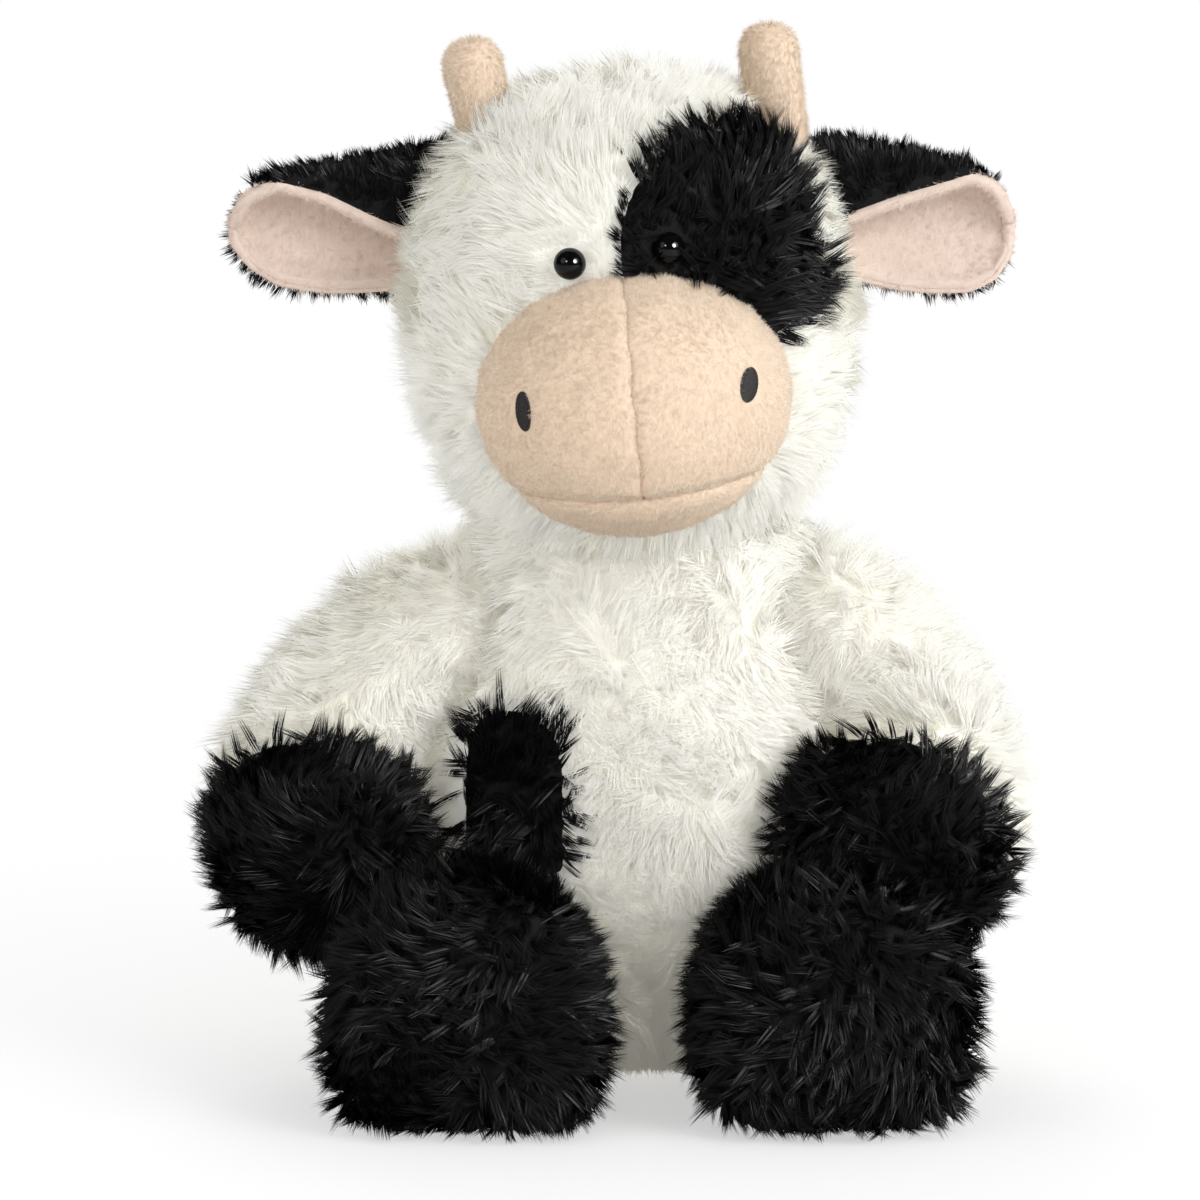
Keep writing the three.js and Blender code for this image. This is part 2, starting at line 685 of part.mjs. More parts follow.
// Horns: short blunt velour cones, open where they are sewn to the head
for (const side of sides) {
  const { beside, tip, lean } = horns[side];
  const top = tip - horn.tipRound;
  const base = headEgg(0).trimByPlane([0, 0, 1], head.widestAt);
  const hornAt = (depth, room) =>
    stuffedTube({
      stations: [
        { at: [beside - lean, -head.forward, top - horn.root - horn.root], radius: horn.baseRadius },
        { at: [beside, -head.forward, top - horn.root], radius: horn.baseRadius },
        { at: [beside + lean, -head.forward, top], radius: horn.tipRadius },
      ],
      up: yAxis,
      startRound: horn.tipRound,
      endRound: horn.tipRound,
      sides: smallSides,
      steps: hornSteps,
      grow: -depth,
    }).subtract(room);
  const onHead = headEgg(seamGap);
  addPiece(headGroup, `horn_${side}_cover`, hornAt(0, onHead).subtract(hornAt(horn.wall, base)), peachVelour);
  addPiece(headGroup, `horn_${side}_stuffing`, hornAt(horn.wall + seamGap, onHead), fibreFill);
}

for (const side of sides) {
  const whole = earBody(side);
  const dishForward = ear.bellyThickness + ear.bellyThickness - ear.dishDepth;
  const dish = earTube(side, 0, ear.rimShare, dishForward);
  const lining = earTube(side, -seamGap, ear.rimShare, dishForward);
  const front = earTube(side, 0, ear.rimShare, dishForward + ear.liningThickness);
  addPiece(headGroup, `ear_${side}_back`, whole.subtract(dish), side === "left" ? blackPlush : whitePlush);
  addPiece(headGroup, `ear_${side}_lining`, lining.intersect(whole).subtract(front), pinkVelour);
}

export default part;
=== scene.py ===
# %% [markdown]
# A sitting stuffed cow in long shaggy pile. The real toy is cut from four cloths: white and black
# shaggy plush, peach velour for the muzzle and horns, and pink velour inside the ears. The packed
# model gives each stuffed piece its place and size, and this lesson makes its cloth. The long pile
# is real geometry here, because hair systems are lost when a model leaves Blender.

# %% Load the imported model
import json
import math

import bmesh
import bpy
import numpy as np
from mathutils import Matrix, Vector
from mathutils.bvhtree import BVHTree


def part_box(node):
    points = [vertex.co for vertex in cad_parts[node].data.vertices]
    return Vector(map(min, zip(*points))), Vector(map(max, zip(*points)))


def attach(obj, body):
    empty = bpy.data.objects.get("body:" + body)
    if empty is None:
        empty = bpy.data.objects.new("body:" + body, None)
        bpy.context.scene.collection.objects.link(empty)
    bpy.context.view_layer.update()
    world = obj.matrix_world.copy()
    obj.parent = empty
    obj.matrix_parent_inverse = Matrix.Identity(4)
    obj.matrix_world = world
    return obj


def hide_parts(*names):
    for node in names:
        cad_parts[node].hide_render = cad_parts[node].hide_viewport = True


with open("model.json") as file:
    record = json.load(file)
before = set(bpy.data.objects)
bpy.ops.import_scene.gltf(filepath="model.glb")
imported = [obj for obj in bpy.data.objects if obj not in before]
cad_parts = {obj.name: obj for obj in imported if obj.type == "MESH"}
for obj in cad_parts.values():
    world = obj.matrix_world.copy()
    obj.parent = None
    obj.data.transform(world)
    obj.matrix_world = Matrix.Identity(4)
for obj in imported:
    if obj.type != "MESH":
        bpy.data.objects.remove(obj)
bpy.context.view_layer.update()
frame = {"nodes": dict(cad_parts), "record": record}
MM = 0.001
SIDES = ("left", "right")
print("packed nodes:", len(frame["nodes"]))

# %% [markdown]
# The camera comes first, because everything later is judged through it. A long lens far away keeps
# the toy's proportions, as in a shop picture, and it looks down on the toy a little.

# %% Camera
AIM = Vector((-11.8, 0, 131.6)) * MM
DISTANCE = 1.8
LOOK_DOWN = math.radians(10)
VIEW_WIDTH = 354 * MM
SENSOR_WIDTH = 36
camera = bpy.data.cameras.new("camera")
camera_object = bpy.data.objects.new("camera", camera)
bpy.context.scene.collection.objects.link(camera_object)
back = Vector((0, -math.cos(LOOK_DOWN), math.sin(LOOK_DOWN)))
camera_object.location = AIM + back * DISTANCE
camera_object.rotation_mode = "QUATERNION"
camera_object.rotation_quaternion = (-back).to_track_quat("-Z", "Y")
camera.sensor_width = SENSOR_WIDTH
camera.lens = SENSOR_WIDTH * DISTANCE / VIEW_WIDTH
camera.clip_start = 0.1
camera.clip_end = 20
bpy.context.scene.camera = camera_object
bpy.context.scene.view_settings.view_transform = "Standard"
print("lens", round(camera.lens, 1), "mm")

# %% [markdown]
# Shader maths reads best as plain expressions. A Socket wraps an output of a node, and its operators
# add Math nodes, so `streaks * 0.6 + 0.2` builds the tree. Every other node comes from one method.


# %% Write shader maths as expressions
class Socket:
    """An output of a shader node that takes part in sums."""

    def __init__(self, owner, output):
        self.owner = owner
        self.output = output

    def math(self, operation, other):
        return self.owner.node("ShaderNodeMath", {"operation": operation}, {0: self, 1: other})

    def __add__(self, other):
        return self.math("ADD", other)

    def __mul__(self, other):
        return self.math("MULTIPLY", other)

    __radd__ = __add__
    __rmul__ = __mul__


class Nodes:
    """A node tree and the method that adds nodes to it."""

    def __init__(self, tree):
        self.tree = tree

    def link(self, socket, target):
        self.tree.links.new(socket.output, target)

    def node(self, kind, settings=None, values=None, output=0):
        """A node of that kind, its settings first and then what its sockets hold or read."""
        made = self.tree.nodes.new(kind)
        for name, value in (settings or {}).items():
            if name == "stops":
                set_stops(made.color_ramp, value)
            else:
                setattr(made, name, value)
        for socket, value in (values or {}).items():
            if isinstance(value, Socket):
                self.link(value, made.inputs[socket])
            else:
                made.inputs[socket].default_value = value
        return Socket(self, made.outputs[output])


def set_stops(ramp, stops):
    """Gives a colour ramp its stops, each a place and a colour."""
    for stop in range(len(stops) - len(ramp.elements)):
        ramp.elements.new(0.5)
    for element, (place, colour) in zip(ramp.elements, stops):
        element.position = place
        element.color = (*colour, 1)


# %% [markdown]
# A Cloth is a material with the few patterns that all the cloths here are drawn from: noise for
# fibres and knit, a ramp or a mix for their colours, and a bump for their relief. All are laid out
# in Object coordinates, so they stay with the cloth when the piece moves.


# %% Draw cloths
class Cloth(Nodes):
    """A material and the nodes that draw it."""

    def __init__(self, name, **sockets):
        self.material = bpy.data.materials.new(name)
        self.material.use_nodes = True
        super().__init__(self.material.node_tree)
        self.shader = self.tree.nodes["Principled BSDF"]
        for socket, value in sockets.items():
            self.shader.inputs[socket.replace("_", " ")].default_value = value

    def place(self):
        """Where a point of the piece is, in metres."""
        return self.node("ShaderNodeTexCoord", output="Object")

    def noise(self, scale, detail, roughness=0.55, stretch=(1, 1, 1)):
        place = self.node("ShaderNodeMapping", None, {"Vector": self.place(), "Scale": stretch})
        sockets = {"Vector": place, "Scale": scale, "Detail": detail, "Roughness": roughness}
        return self.node("ShaderNodeTexNoise", None, sockets, output="Fac")

    def ramp(self, value, *stops):
        return self.node("ShaderNodeValToRGB", {"stops": stops}, {"Fac": value}, output="Color")

    def mix(self, share, first, second):
        first, second = [c if isinstance(c, Socket) else (*c, 1) for c in (first, second)]
        settings = {"data_type": "RGBA", "blend_type": "MIX"}
        return self.node("ShaderNodeMix", settings, {0: share, 6: first, 7: second}, output=2)

    def bump(self, height, depth, strength=1.0):
        sockets = {"Height": height, "Distance": depth, "Strength": strength}
        return self.node("ShaderNodeBump", None, sockets, output="Normal")

    def wear(self, **inputs):
        """Links what was drawn to the shader's sockets."""
        for socket, value in inputs.items():
            self.link(value, self.shader.inputs[socket.replace("_", " ")])
        return self.material


def linear(red, green, blue):
    """A colour as a screen shows it, from 0 to 255, in the shader's own units."""
    shares = (red / 255, green / 255, blue / 255)
    return tuple(s / 12.92 if s <= 0.04045 else ((s + 0.055) / 1.055) ** 2.4 for s in shares)


# %% [markdown]
# Each fibre is painted darker at the root, for the shade deep in the pile, and lighter at the tip.
# A fibre's UV map says how far along it a point is, and holds a number of the fibre's own, so one
# small pattern colours them all. White fibres are clear and pass light on into the depth of the
# pile. A faint glow stands for that light.

# %% Pile cloths
PILE_MAP = "OFBake"
# painted glow on the white fibres and the white ground: it stands for light that passes through the
# clear fibres
GLOW = (1, 0.97, 0.9, 1)
PILE_GLOW = 0.05
GROUND_GLOW = 0.12


def pile_cloth(name, root, tip, pale, **sockets):
    """Fibres from the root colour, painted darker as shade deep in the pile, to the tip colour, paler
    on some.
    """
    cloth = Cloth(name, **sockets)
    place = cloth.node("ShaderNodeUVMap", {"uv_map": PILE_MAP}, output="UV")
    number = cloth.node("ShaderNodeSeparateXYZ", None, {0: place}, output="X")
    along = cloth.node("ShaderNodeSeparateXYZ", None, {0: place}, output="Y")
    # painted shade: the root colour is darker, for the shade deep in the pile
    shade = cloth.ramp(along, (0.0, root), (0.75, tip))
    fleck = cloth.ramp(number, (0.35, (0, 0, 0)), (1.0, (1, 1, 1)))
    return cloth.wear(Base_Color=cloth.mix(fleck, shade, pale))


def backing(name, colour, other, **sockets):
    """The knitted ground that the pile stands in."""
    cloth = Cloth(name, Roughness=0.9, Specular_IOR_Level=0.1, **sockets)
    knit = cloth.noise(900, 2.0)
    shade = cloth.mix(knit, colour, other)
    return cloth.wear(Base_Color=shade, Normal=cloth.bump(knit, 0.4 * MM))


WHITE_PILE = pile_cloth(
    "white_pile", linear(242, 240, 230), linear(251, 250, 243), linear(255, 254, 249),
    Roughness=0.6, Specular_IOR_Level=0.3, Emission_Color=GLOW, Emission_Strength=PILE_GLOW,
)
BLACK_PILE = pile_cloth(
    "black_pile", linear(7, 7, 7), linear(17, 17, 17), linear(37, 36, 36),
    Roughness=0.4, Specular_IOR_Level=0.05,
)
WHITE_GROUND = backing(
    "white_ground", linear(243, 241, 232), linear(250, 249, 242),
    Emission_Color=GLOW, Emission_Strength=GROUND_GLOW,
)
BLACK_GROUND = backing("black_ground", linear(5, 5, 5), linear(11, 11, 11))
print("shaggy cloths:", [m.name for m in (WHITE_PILE, BLACK_PILE, WHITE_GROUND, BLACK_GROUND)])

# %% [markdown]
# Velour has a short dense pile that is brushed one way. Most of it is a pattern on the skin: fine
# streaks of painted light and shade where the brushed clumps catch the light, over patches of tone.
# The fuzz that breaks up its outline is planted later, in the same colours.


# %% Velour cloths
def velour(name, shaded_hollow, lit_ridge):
    """Short dense pile, whose brushed clumps catch the light as fine streaks, painted into its colour.
    """
    cloth = Cloth(name, Roughness=0.85, Sheen_Weight=0.15)
    streaks = cloth.noise(900, 3.0, stretch=(1, 1, 0.35))
    patches = cloth.noise(38, 2.0)
    # painted light and shade: streaks from the shaded hollow colour to the lit ridge colour, with
    # patches of tone
    shade = cloth.mix(streaks * 0.6 + patches * 0.4, shaded_hollow, lit_ridge)
    return cloth.wear(Base_Color=shade, Normal=cloth.bump(streaks, 0.2 * MM, 0.6))


def fuzz(name, root, tip, pale):
    """Cloth for the fibres of velour."""
    return pile_cloth(name, root, tip, pale, Roughness=0.7)


PEACH = velour("peach_velour", linear(214, 187, 160), linear(231, 208, 181))
PINK = velour("pink_velour", linear(206, 184, 170), linear(229, 208, 193))
PEACH_FUZZ = fuzz("peach_fuzz", linear(202, 173, 146), linear(231, 207, 180), linear(252, 241, 222))
PINK_FUZZ = fuzz("pink_fuzz", linear(198, 174, 160), linear(226, 204, 189), linear(246, 233, 220))
print("velour cloths:", [m.name for m in (PEACH, PINK, PEACH_FUZZ, PINK_FUZZ)])

# %% [markdown]
# Each skin is stretched over its filling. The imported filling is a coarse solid, so a copy of it is
# remeshed into small even faces, eased until its facets are gone, and then grown by the thickness
# of the cloth.

# %% Turn a coarse solid into a soft one
SHAGGY_VOXEL = 3 * MM
SHAGGY_EASE = 6
SHAGGY_COAT = 3.6 * MM
SAME_POINT = 0.01 * MM


def piece(name, bm, *materials):
    """An object at the origin that holds a bmesh's faces."""
    mesh = bpy.data.meshes.new(name)
    bm.to_mesh(mesh)
    bm.free()
    made = bpy.data.objects.new(name, mesh)
    bpy.context.scene.collection.objects.link(made)
    for material in materials:
        mesh.materials.append(material)
    mesh.shade_smooth()
    return made


def in_order(bm):
    """Sorts corners and faces from the floor up, because some operators leave another order each run.

    Pile is planted face by face, so only a fixed order gives the same pile each time.
    """
    for elements, place in (
        (bm.verts, lambda corner: corner.co.zyx[:]),
        (bm.faces, lambda face: face.calc_center_median().zyx[:]),
    ):
        rank = {element: number for number, element in enumerate(sorted(elements, key=place))}
        elements.sort(key=rank.__getitem__)
        elements.index_update()
    return bm


def copy_of(node):
    """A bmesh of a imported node, with the corners of its loose triangles merged."""
    bm = bmesh.new()
    bm.from_mesh(frame["nodes"][node].data)
    bmesh.ops.remove_doubles(bm, verts=bm.verts, dist=SAME_POINT)
    return bm


def evaluated(made):
    """The mesh of an object with its modifiers applied, or of a curve with its thickness."""
    return bpy.data.meshes.new_from_object(made.evaluated_get(bpy.context.evaluated_depsgraph_get()))


def soften(made, voxel, rounds, grow=0.0):
    """Remeshes a closed object evenly, eases it and grows it."""
    material = made.data.materials[0]
    remesh = made.modifiers.new("even", "REMESH")
    remesh.mode = "VOXEL"
    remesh.voxel_size = voxel
    ease = made.modifiers.new("ease", "SMOOTH")
    ease.factor = 0.5
    ease.iterations = rounds
    if grow:
        swell = made.modifiers.new("swell", "DISPLACE")
        swell.mid_level = 0
        swell.strength = grow
    mesh = evaluated(made)
    made.modifiers.clear()
    mesh.name = made.name
    mesh.shade_smooth()
    mesh.materials.clear()
    mesh.materials.append(material)
    made.data = mesh
    return made


def filled_skin(name, node, material, voxel=SHAGGY_VOXEL, rounds=SHAGGY_EASE, grow=SHAGGY_COAT):
    """The skin over a packed filling."""
    return soften(piece(name, copy_of(node), material), voxel, rounds, grow)


# %% [markdown]
# A skin ends where it is sewn to the next one. The whole form is made in one piece, because then both
# sides of the seam meet in the same line, and each cloth is the part of it on one side of a plane.

# %% Cut a form at its seams
CUTS = {}


def cut_at(name, source, middle, across, keep_far, material):
    """The part of a soft object on one side of a plane, with the cut closed."""
    CUTS[name] = np.array(middle), np.array(across)
    bm = bmesh.new()
    bm.from_mesh(source.data)
    everything = bm.verts[:] + bm.edges[:] + bm.faces[:]
    cut = bmesh.ops.bisect_plane(
        bm, geom=everything, plane_co=middle, plane_no=across,
        clear_inner=keep_far, clear_outer=not keep_far,
    )
    rim = [e for e in cut["geom_cut"] if isinstance(e, bmesh.types.BMEdge)]
    bmesh.ops.holes_fill(bm, edges=rim)
    bmesh.ops.recalc_face_normals(bm, faces=bm.faces)
    return piece(name, bm, material)


NECK = Vector((0, 0, 157)) * MM
NECK_GAP = Vector((0, 0, 0.35)) * MM
UP = Vector((0, 0, 1))
whole_torso = filled_skin("whole_torso", "torso_stuffing", WHITE_GROUND)
whole_head = filled_skin("whole_head", "head_stuffing", WHITE_GROUND)
torso = cut_at("torso_skin", whole_torso, NECK - NECK_GAP, UP, False, WHITE_GROUND)
head = cut_at("head_skin", whole_head, NECK + NECK_GAP, UP, True, WHITE_GROUND)
for whole in (whole_torso, whole_head):
    bpy.data.objects.remove(whole)
print("torso", len(torso.data.polygons), "head", len(head.data.polygons), "faces")

# %% [markdown]
# Arms and legs are tubes of white plush with black ends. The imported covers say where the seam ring
# lies: it is where their corners meet, and the plane through those corners is the cut.

# %% Limbs in two cloths
SEAM_REACH = 0.6 * MM


def centre_of(node):
    return sum(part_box(node), Vector()) / 2


def cuff_plane(first, second):
    """The middle and direction of the seam ring between two packed covers."""
    tree = BVHTree.FromBMesh(copy_of(second))
    bm = copy_of(first)
    ring = [v.co.copy() for v in bm.verts if tree.find_nearest(v.co)[3] < SEAM_REACH]
    bm.free()
    middle = sum(ring, Vector()) / len(ring)
    spread = np.array([list(p - middle) for p in ring])
    across = Vector(np.linalg.svd(spread)[2][2])
    if across.dot(centre_of(second) - centre_of(first)) < 0:
        across.negate()
    return middle, across


limbs = {}
for limb, near, far in (("arm", "sleeve", "hoof"), ("leg", "thigh", "foot")):
    for side in SIDES:
        whole = filled_skin("whole", f"{limb}_{side}_stuffing", WHITE_GROUND)
        middle, across = cuff_plane(f"{limb}_{side}_{near}", f"{limb}_{side}_{far}")
        for part, beyond, ground in ((near, False, WHITE_GROUND), (far, True, BLACK_GROUND)):
            node = f"{limb}_{side}_{part}"
            limbs[node] = cut_at(node + "_skin", whole, middle, across, beyond, ground)
        bpy.data.objects.remove(whole)
        print(limb, side, "cuff at", [round(c, 4) for c in middle])

# %% [markdown]
# Two black panels are let into the white skins, and the tail is too small to have a filling of its
# own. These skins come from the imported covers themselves. The panels are grown a little, so that
# they lie over the skin that they are sewn into.

# %% Panels and the tail
PANEL_VOXEL = 1.5 * MM
PANEL_EASE = 4
panels = {}
for node, ground, grow in (
    ("belly_patch", BLACK_GROUND, 1.2),
    ("eye_patch", BLACK_GROUND, 1.0),
    ("tail_sleeve", WHITE_GROUND, 0),
    ("tail_tuft", BLACK_GROUND, 0),
):
    cover = piece(node + "_skin", copy_of(node), ground)
    panels[node] = soften(cover, PANEL_VOXEL, PANEL_EASE, grow * MM)
print("panels", {n: len(o.data.polygons) for n, o in panels.items()})

# %% [markdown]
# The muzzle shows its shape, because velour hides nothing. Its three panels are one stuffed egg with
# seams: the skin is pulled in along each seam first, and then it is parted into the panels. A
# gather in front of the crest draws the skin in, as the thread does on the real toy.

# %% Muzzle
PANELS = ("muzzle_left_panel", "muzzle_right_panel", "muzzle_chin_panel")
CHIN = 2
# depth of the furrow and how far it reaches
CHEEK_SEAM = (0.8 * MM, 2.0 * MM)
MOUTH_SEAM = (1.9 * MM, 2.2 * MM)
GATHER = (1.5 * MM, 7 * MM)
GATHER_AHEAD = 12 * MM
VELOUR_VOXEL = 1.2 * MM
MUZZLE_EASE = 24
MUZZLE_COAT = 2.7 * MM
MUZZLE_CENTRE = centre_of("muzzle_stuffing")
muzzle_whole = filled_skin(
    "muzzle_whole", "muzzle_stuffing", PEACH, VELOUR_VOXEL, MUZZLE_EASE, MUZZLE_COAT
)
panel_trees = [BVHTree.FromBMesh(copy_of(node)) for node in PANELS]


def panel_distances(point):
    """How far a point is from each packed panel."""
    return [tree.find_nearest(point)[3] for tree in panel_trees]


def furrow(shape, far):
    """How deep the skin is pulled in at some distance from a seam or a gather."""
    depth, reach = shape
    return depth * math.exp(-((far / reach) ** 2))


bm = bmesh.new()
bm.from_mesh(muzzle_whole.data)
bm.normal_update()
crest = max((v.co for v in bm.verts if v.co.y < MUZZLE_CENTRE.y), key=lambda co: co.z).copy()
crest.y -= GATHER_AHEAD
pulls = []
for vert in bm.verts:
    far = panel_distances(vert.co)
    nearest, second = sorted(range(len(PANELS)), key=far.__getitem__)[:2]
    seam = MOUTH_SEAM if CHIN in (nearest, second) else CHEEK_SEAM
    pull = furrow(seam, far[second]) + furrow(GATHER, (vert.co - crest).length)
    pulls.append(vert.normal * -pull)
for vert, pull in zip(bm.verts, pulls):
    vert.co += pull
bm.to_mesh(muzzle_whole.data)
bm.free()
print("muzzle crest at", [round(c, 4) for c in crest])

# %% [markdown]
# Parting the egg by faces leaves a zigzag rim on each panel, so the rim is drawn out into a smooth
# line before the cloth gets its thickness.

# %% Part the muzzle into its panels
RIM_ROUNDS = 8
PANEL_THICKNESS = 1.2 * MM


def even_rim(bm):
    """Draws the zigzag rim of a parted cloth out into a smooth line."""
    rim = [v for v in bm.verts if v.is_boundary]
    for turn in range(RIM_ROUNDS):
        moved = []
        for vert in rim:
            beside = [e.other_vert(vert).co for e in vert.link_edges if e.is_boundary]
            moved.append(vert.co.lerp(sum(beside, Vector()) / len(beside), 0.5))
        for vert, place in zip(rim, moved):
            vert.co = place


def parted(name, number):
    """One panel of the muzzle, as a closed cloth of its own."""
    bm = bmesh.new()
    bm.from_mesh(muzzle_whole.data)
    away = []
    for face in bm.faces:
        far = panel_distances(face.calc_center_median())
        if far.index(min(far)) != number:
            away.append(face)
    bmesh.ops.delete(bm, geom=away, context="FACES")
    even_rim(bm)
    bmesh.ops.solidify(bm, geom=bm.faces[:], thickness=PANEL_THICKNESS)
    return piece(name, in_order(bm), PEACH)


muzzle = {node: parted(node + "_skin", number) for number, node in enumerate(PANELS)}
print("muzzle faces", {n: len(o.data.polygons) for n, o in muzzle.items()})

# %% [markdown]
# The horns are small tubes of the same velour, stuffed tight, so their skins need no seams or folds.

# %% Horns
HORN_EASE = 12
HORN_COAT = 2.5 * MM
horns = {}
for side in SIDES:
    horns[f"horn_{side}_cover"] = filled_skin(
        f"horn_{side}_cover_skin", f"horn_{side}_stuffing", PEACH, VELOUR_VOXEL, HORN_EASE, HORN_COAT
    )
print("horn faces", {n: len(o.data.polygons) for n, o in horns.items()})

# %% [markdown]
# Each ear is a leaf of two cloths, black outside and pink inside. Its upper edge is folded forwards
# and down, so the black outside shows over the root, and the pink opens towards the tip. A grid
# takes the leaf's outline and its fold, station by station from the root to the tip.

# %% The leaf of an ear
EAR_STATIONS = {
    # in mm: across from the middle, top of the fold, edge of the flap, lower edge
    "right": (
        (-53, 267, 238, 227), (-67, 265, 239.5, 224.5), (-79, 262, 245, 223.5),
        (-92, 260, 252, 223.2), (-105, 258.5, 255.6, 225.3), (-114, 252.5, 252, 231),
        (-118.5, 244, 243.5, 239),
    ),
    "left": (
        (49, 268, 243, 229), (63, 267, 246, 227), (74, 264.5, 250.5, 224.3), (85, 262.5, 254, 223.2),
        (96, 260, 258, 223.5), (103.5, 254.5, 254, 227.5), (107.5, 245, 244.5, 235),
    ),
}
EAR_FORWARD = -1.5
EAR_SECTION = (
    # forward or back in mm, and the share of the way up from the lower edge to the top
    (-5.0, 0.0), (1.0, 0.2), (3.5, 0.5), (2.8, 0.8), (-0.5, 0.97), (-4.5, 1.0),
)
EAR_FLAP = (
    # forward or back in mm, and the share of the way down from the top to the edge of the flap
    (-8.5, 0.28), (-9.8, 0.66), (-9.0, 1.0),
)
EAR_GRID = (30, 20)
EAR_TIP_ROUNDNESS = 2.4
EAR_TIP_DEPTH_SHARE = 0.12
# shares of the ear's length and of the way round its section, past which the flap is cut away
FLAP_OPENS_SHARE = 0.78
FLAP_FROM_SHARE = 0.6


def depth_share(along):
    """The share of its full depth that an ear has, which falls to the tip from half way along."""
    if along < 0.5:
        return 1
    round_end = math.sqrt(max(1 - (2 * along - 1) ** EAR_TIP_ROUNDNESS, 0))
    return max(round_end, EAR_TIP_DEPTH_SHARE)


def ear_leaf(side):
    """The middle surface of an ear, bent into a folded leaf, and the faces where its fold runs out."""
    stations = np.array(EAR_STATIONS[side], float)
    along = np.linspace(0, 1, len(stations))
    bm = bmesh.new()
    bmesh.ops.create_grid(bm, x_segments=EAR_GRID[0], y_segments=EAR_GRID[1], size=1)
    fold_end = []
    for face in bm.faces:
        spot = face.calc_center_median()
        if (spot.x + 1) / 2 > FLAP_OPENS_SHARE and (spot.y + 1) / 2 > FLAP_FROM_SHARE:
            fold_end.append(face)
    for vert in bm.verts:
        u, t = (vert.co.x + 1) / 2, (vert.co.y + 1) / 2
        x, top, flap, low = (np.interp(u, along, stations[:, i]) for i in range(4))
        ys = [y * depth_share(u) for y, share in EAR_SECTION + EAR_FLAP]
        zs = [low + (top - low) * share for y, share in EAR_SECTION]
        zs += [top - (top - flap) * share for y, share in EAR_FLAP]
        places = np.linspace(0, 1, len(ys))
        vert.co = Vector((x, EAR_FORWARD + np.interp(t, places, ys), np.interp(t, places, zs))) * MM
    return bm, fold_end


print("an ear's leaf has", EAR_GRID[0] * EAR_GRID[1], "squares")

# %% [markdown]
# The black and the pink cloth are that leaf with a thickness to either side. The pink is turned out
# over the ear's edge as a soft roll, which is a curve along the leaf's rim with some thickness.

# %% Ears
BLACK_EAR_THICKNESS = -1.2 * MM
PINK_EAR_THICKNESS = 1.6 * MM
ROLL_RADIUS = 2.1 * MM
ROLL_FROM = 60 * MM
# the roll is thin along the ear's lower edge and full from some way up, in mm above the floor
ROLL_THIN_AT = 226
ROLL_FULL_AFTER = 14
ROLL_THIN_SHARE = 0.4


def rim_of(bm):
    """The corners round the edge of an open sheet, in order."""
    edges = [e for e in bm.edges if len(e.link_faces) == 1]
    loop = [edges[0].verts[0], edges[0].verts[1]]
    last = edges[0]
    while True:
        following = [e for e in loop[-1].link_edges if len(e.link_faces) == 1 and e != last]
        last = following[0]
        corner = last.other_vert(loop[-1])
        if corner == loop[0]:
            return loop
        loop.append(corner)


def ear_sheet(name, side, thickness, material):
    """One cloth of an ear, and its rim. The black cloth ends where the fold runs out."""
    bm, fold_end = ear_leaf(side)
    if side == "left":
        bmesh.ops.reverse_faces(bm, faces=bm.faces)
    for turn in range(2):
        bmesh.ops.smooth_vert(
            bm, verts=bm.verts, factor=0.5, use_axis_x=True, use_axis_y=True, use_axis_z=True
        )
    rim = [v.co.copy() for v in rim_of(bm)]
    start = min(range(len(rim)), key=lambda i: abs(rim[i].x))
    rim = [co for co in rim[start:] + rim[:start] if abs(co.x) > ROLL_FROM]
    if material == BLACK_GROUND:
        bmesh.ops.delete(bm, geom=fold_end, context="FACES")
    bmesh.ops.solidify(bm, geom=bm.faces[:], thickness=thickness)
    return piece(name, in_order(bm), material), rim


def roll(path):
    """A bmesh of a soft roll along a path, thinner along its lower side."""
    curve = bpy.data.curves.new("roll", "CURVE")
    curve.dimensions = "3D"
    curve.bevel_depth = ROLL_RADIUS
    curve.bevel_resolution = 2
    line = curve.splines.new("POLY")
    line.points.add(len(path) - 1)
    for point, co in zip(line.points, path):
        point.co = (*co, 1)
        point.radius = min(max((co.z / MM - ROLL_THIN_AT) / ROLL_FULL_AFTER, ROLL_THIN_SHARE), 1)
    drawn = bpy.data.objects.new("roll", curve)
    bpy.context.scene.collection.objects.link(drawn)
    bm = bmesh.new()
    bm.from_mesh(evaluated(drawn))
    bpy.data.objects.remove(drawn)
    return bm


ears = {}
for side in SIDES:
    shell, rim = ear_sheet(f"ear_{side}_back_skin", side, BLACK_EAR_THICKNESS, BLACK_GROUND)
    lining, rim = ear_sheet(f"ear_{side}_lining_skin", side, PINK_EAR_THICKNESS, PINK)
    bm = roll(rim)
    bm.from_mesh(lining.data)
    bm.to_mesh(lining.data)
    bm.free()
    ears[f"ear_{side}_back"] = shell
    ears[f"ear_{side}_lining"] = lining
print("ear faces", {n: len(o.data.polygons) for n, o in ears.items()})

# %% [markdown]
# The eyes are glossy domes on stems. Their outline is drawn once and spun round the axis of the
# packed eye. A faint smear in the gloss keeps the highlights from looking like glass.

# %% Eyes
GLOSS = Cloth("black_gloss", Base_Color=(0.002, 0.002, 0.002, 1), Specular_IOR_Level=0.2)
smear = GLOSS.noise(260, 2.0)
GLOSS.wear(Roughness=smear * 0.06 + 0.05)
EYE_PROFILE = (
    # in mm: radius, and height from the front of the dome back to the end of the stem
    (0, 0), (1.7, -0.3), (3.0, -1.05), (4.0, -2.2), (4.5, -3.6), (4.6, -5.0), (4.4, -6.1),
    (3.8, -6.6), (1.6, -6.8), (1.5, -17), (1.2, -17.6), (0, -17.6),
)
EYE_STEPS = 40


def axis_of(node):
    """The front end and the direction of a packed pin, by the way its corners spread."""
    corners = np.array([list(v.co) for v in frame["nodes"][node].data.vertices])
    middle = corners.mean(0)
    along = np.linalg.svd(corners - middle, full_matrices=False)[2][0]
    if along[1] > 0:
        along = -along
    return Vector(middle + along * ((corners - middle) @ along).max()), Vector(along)


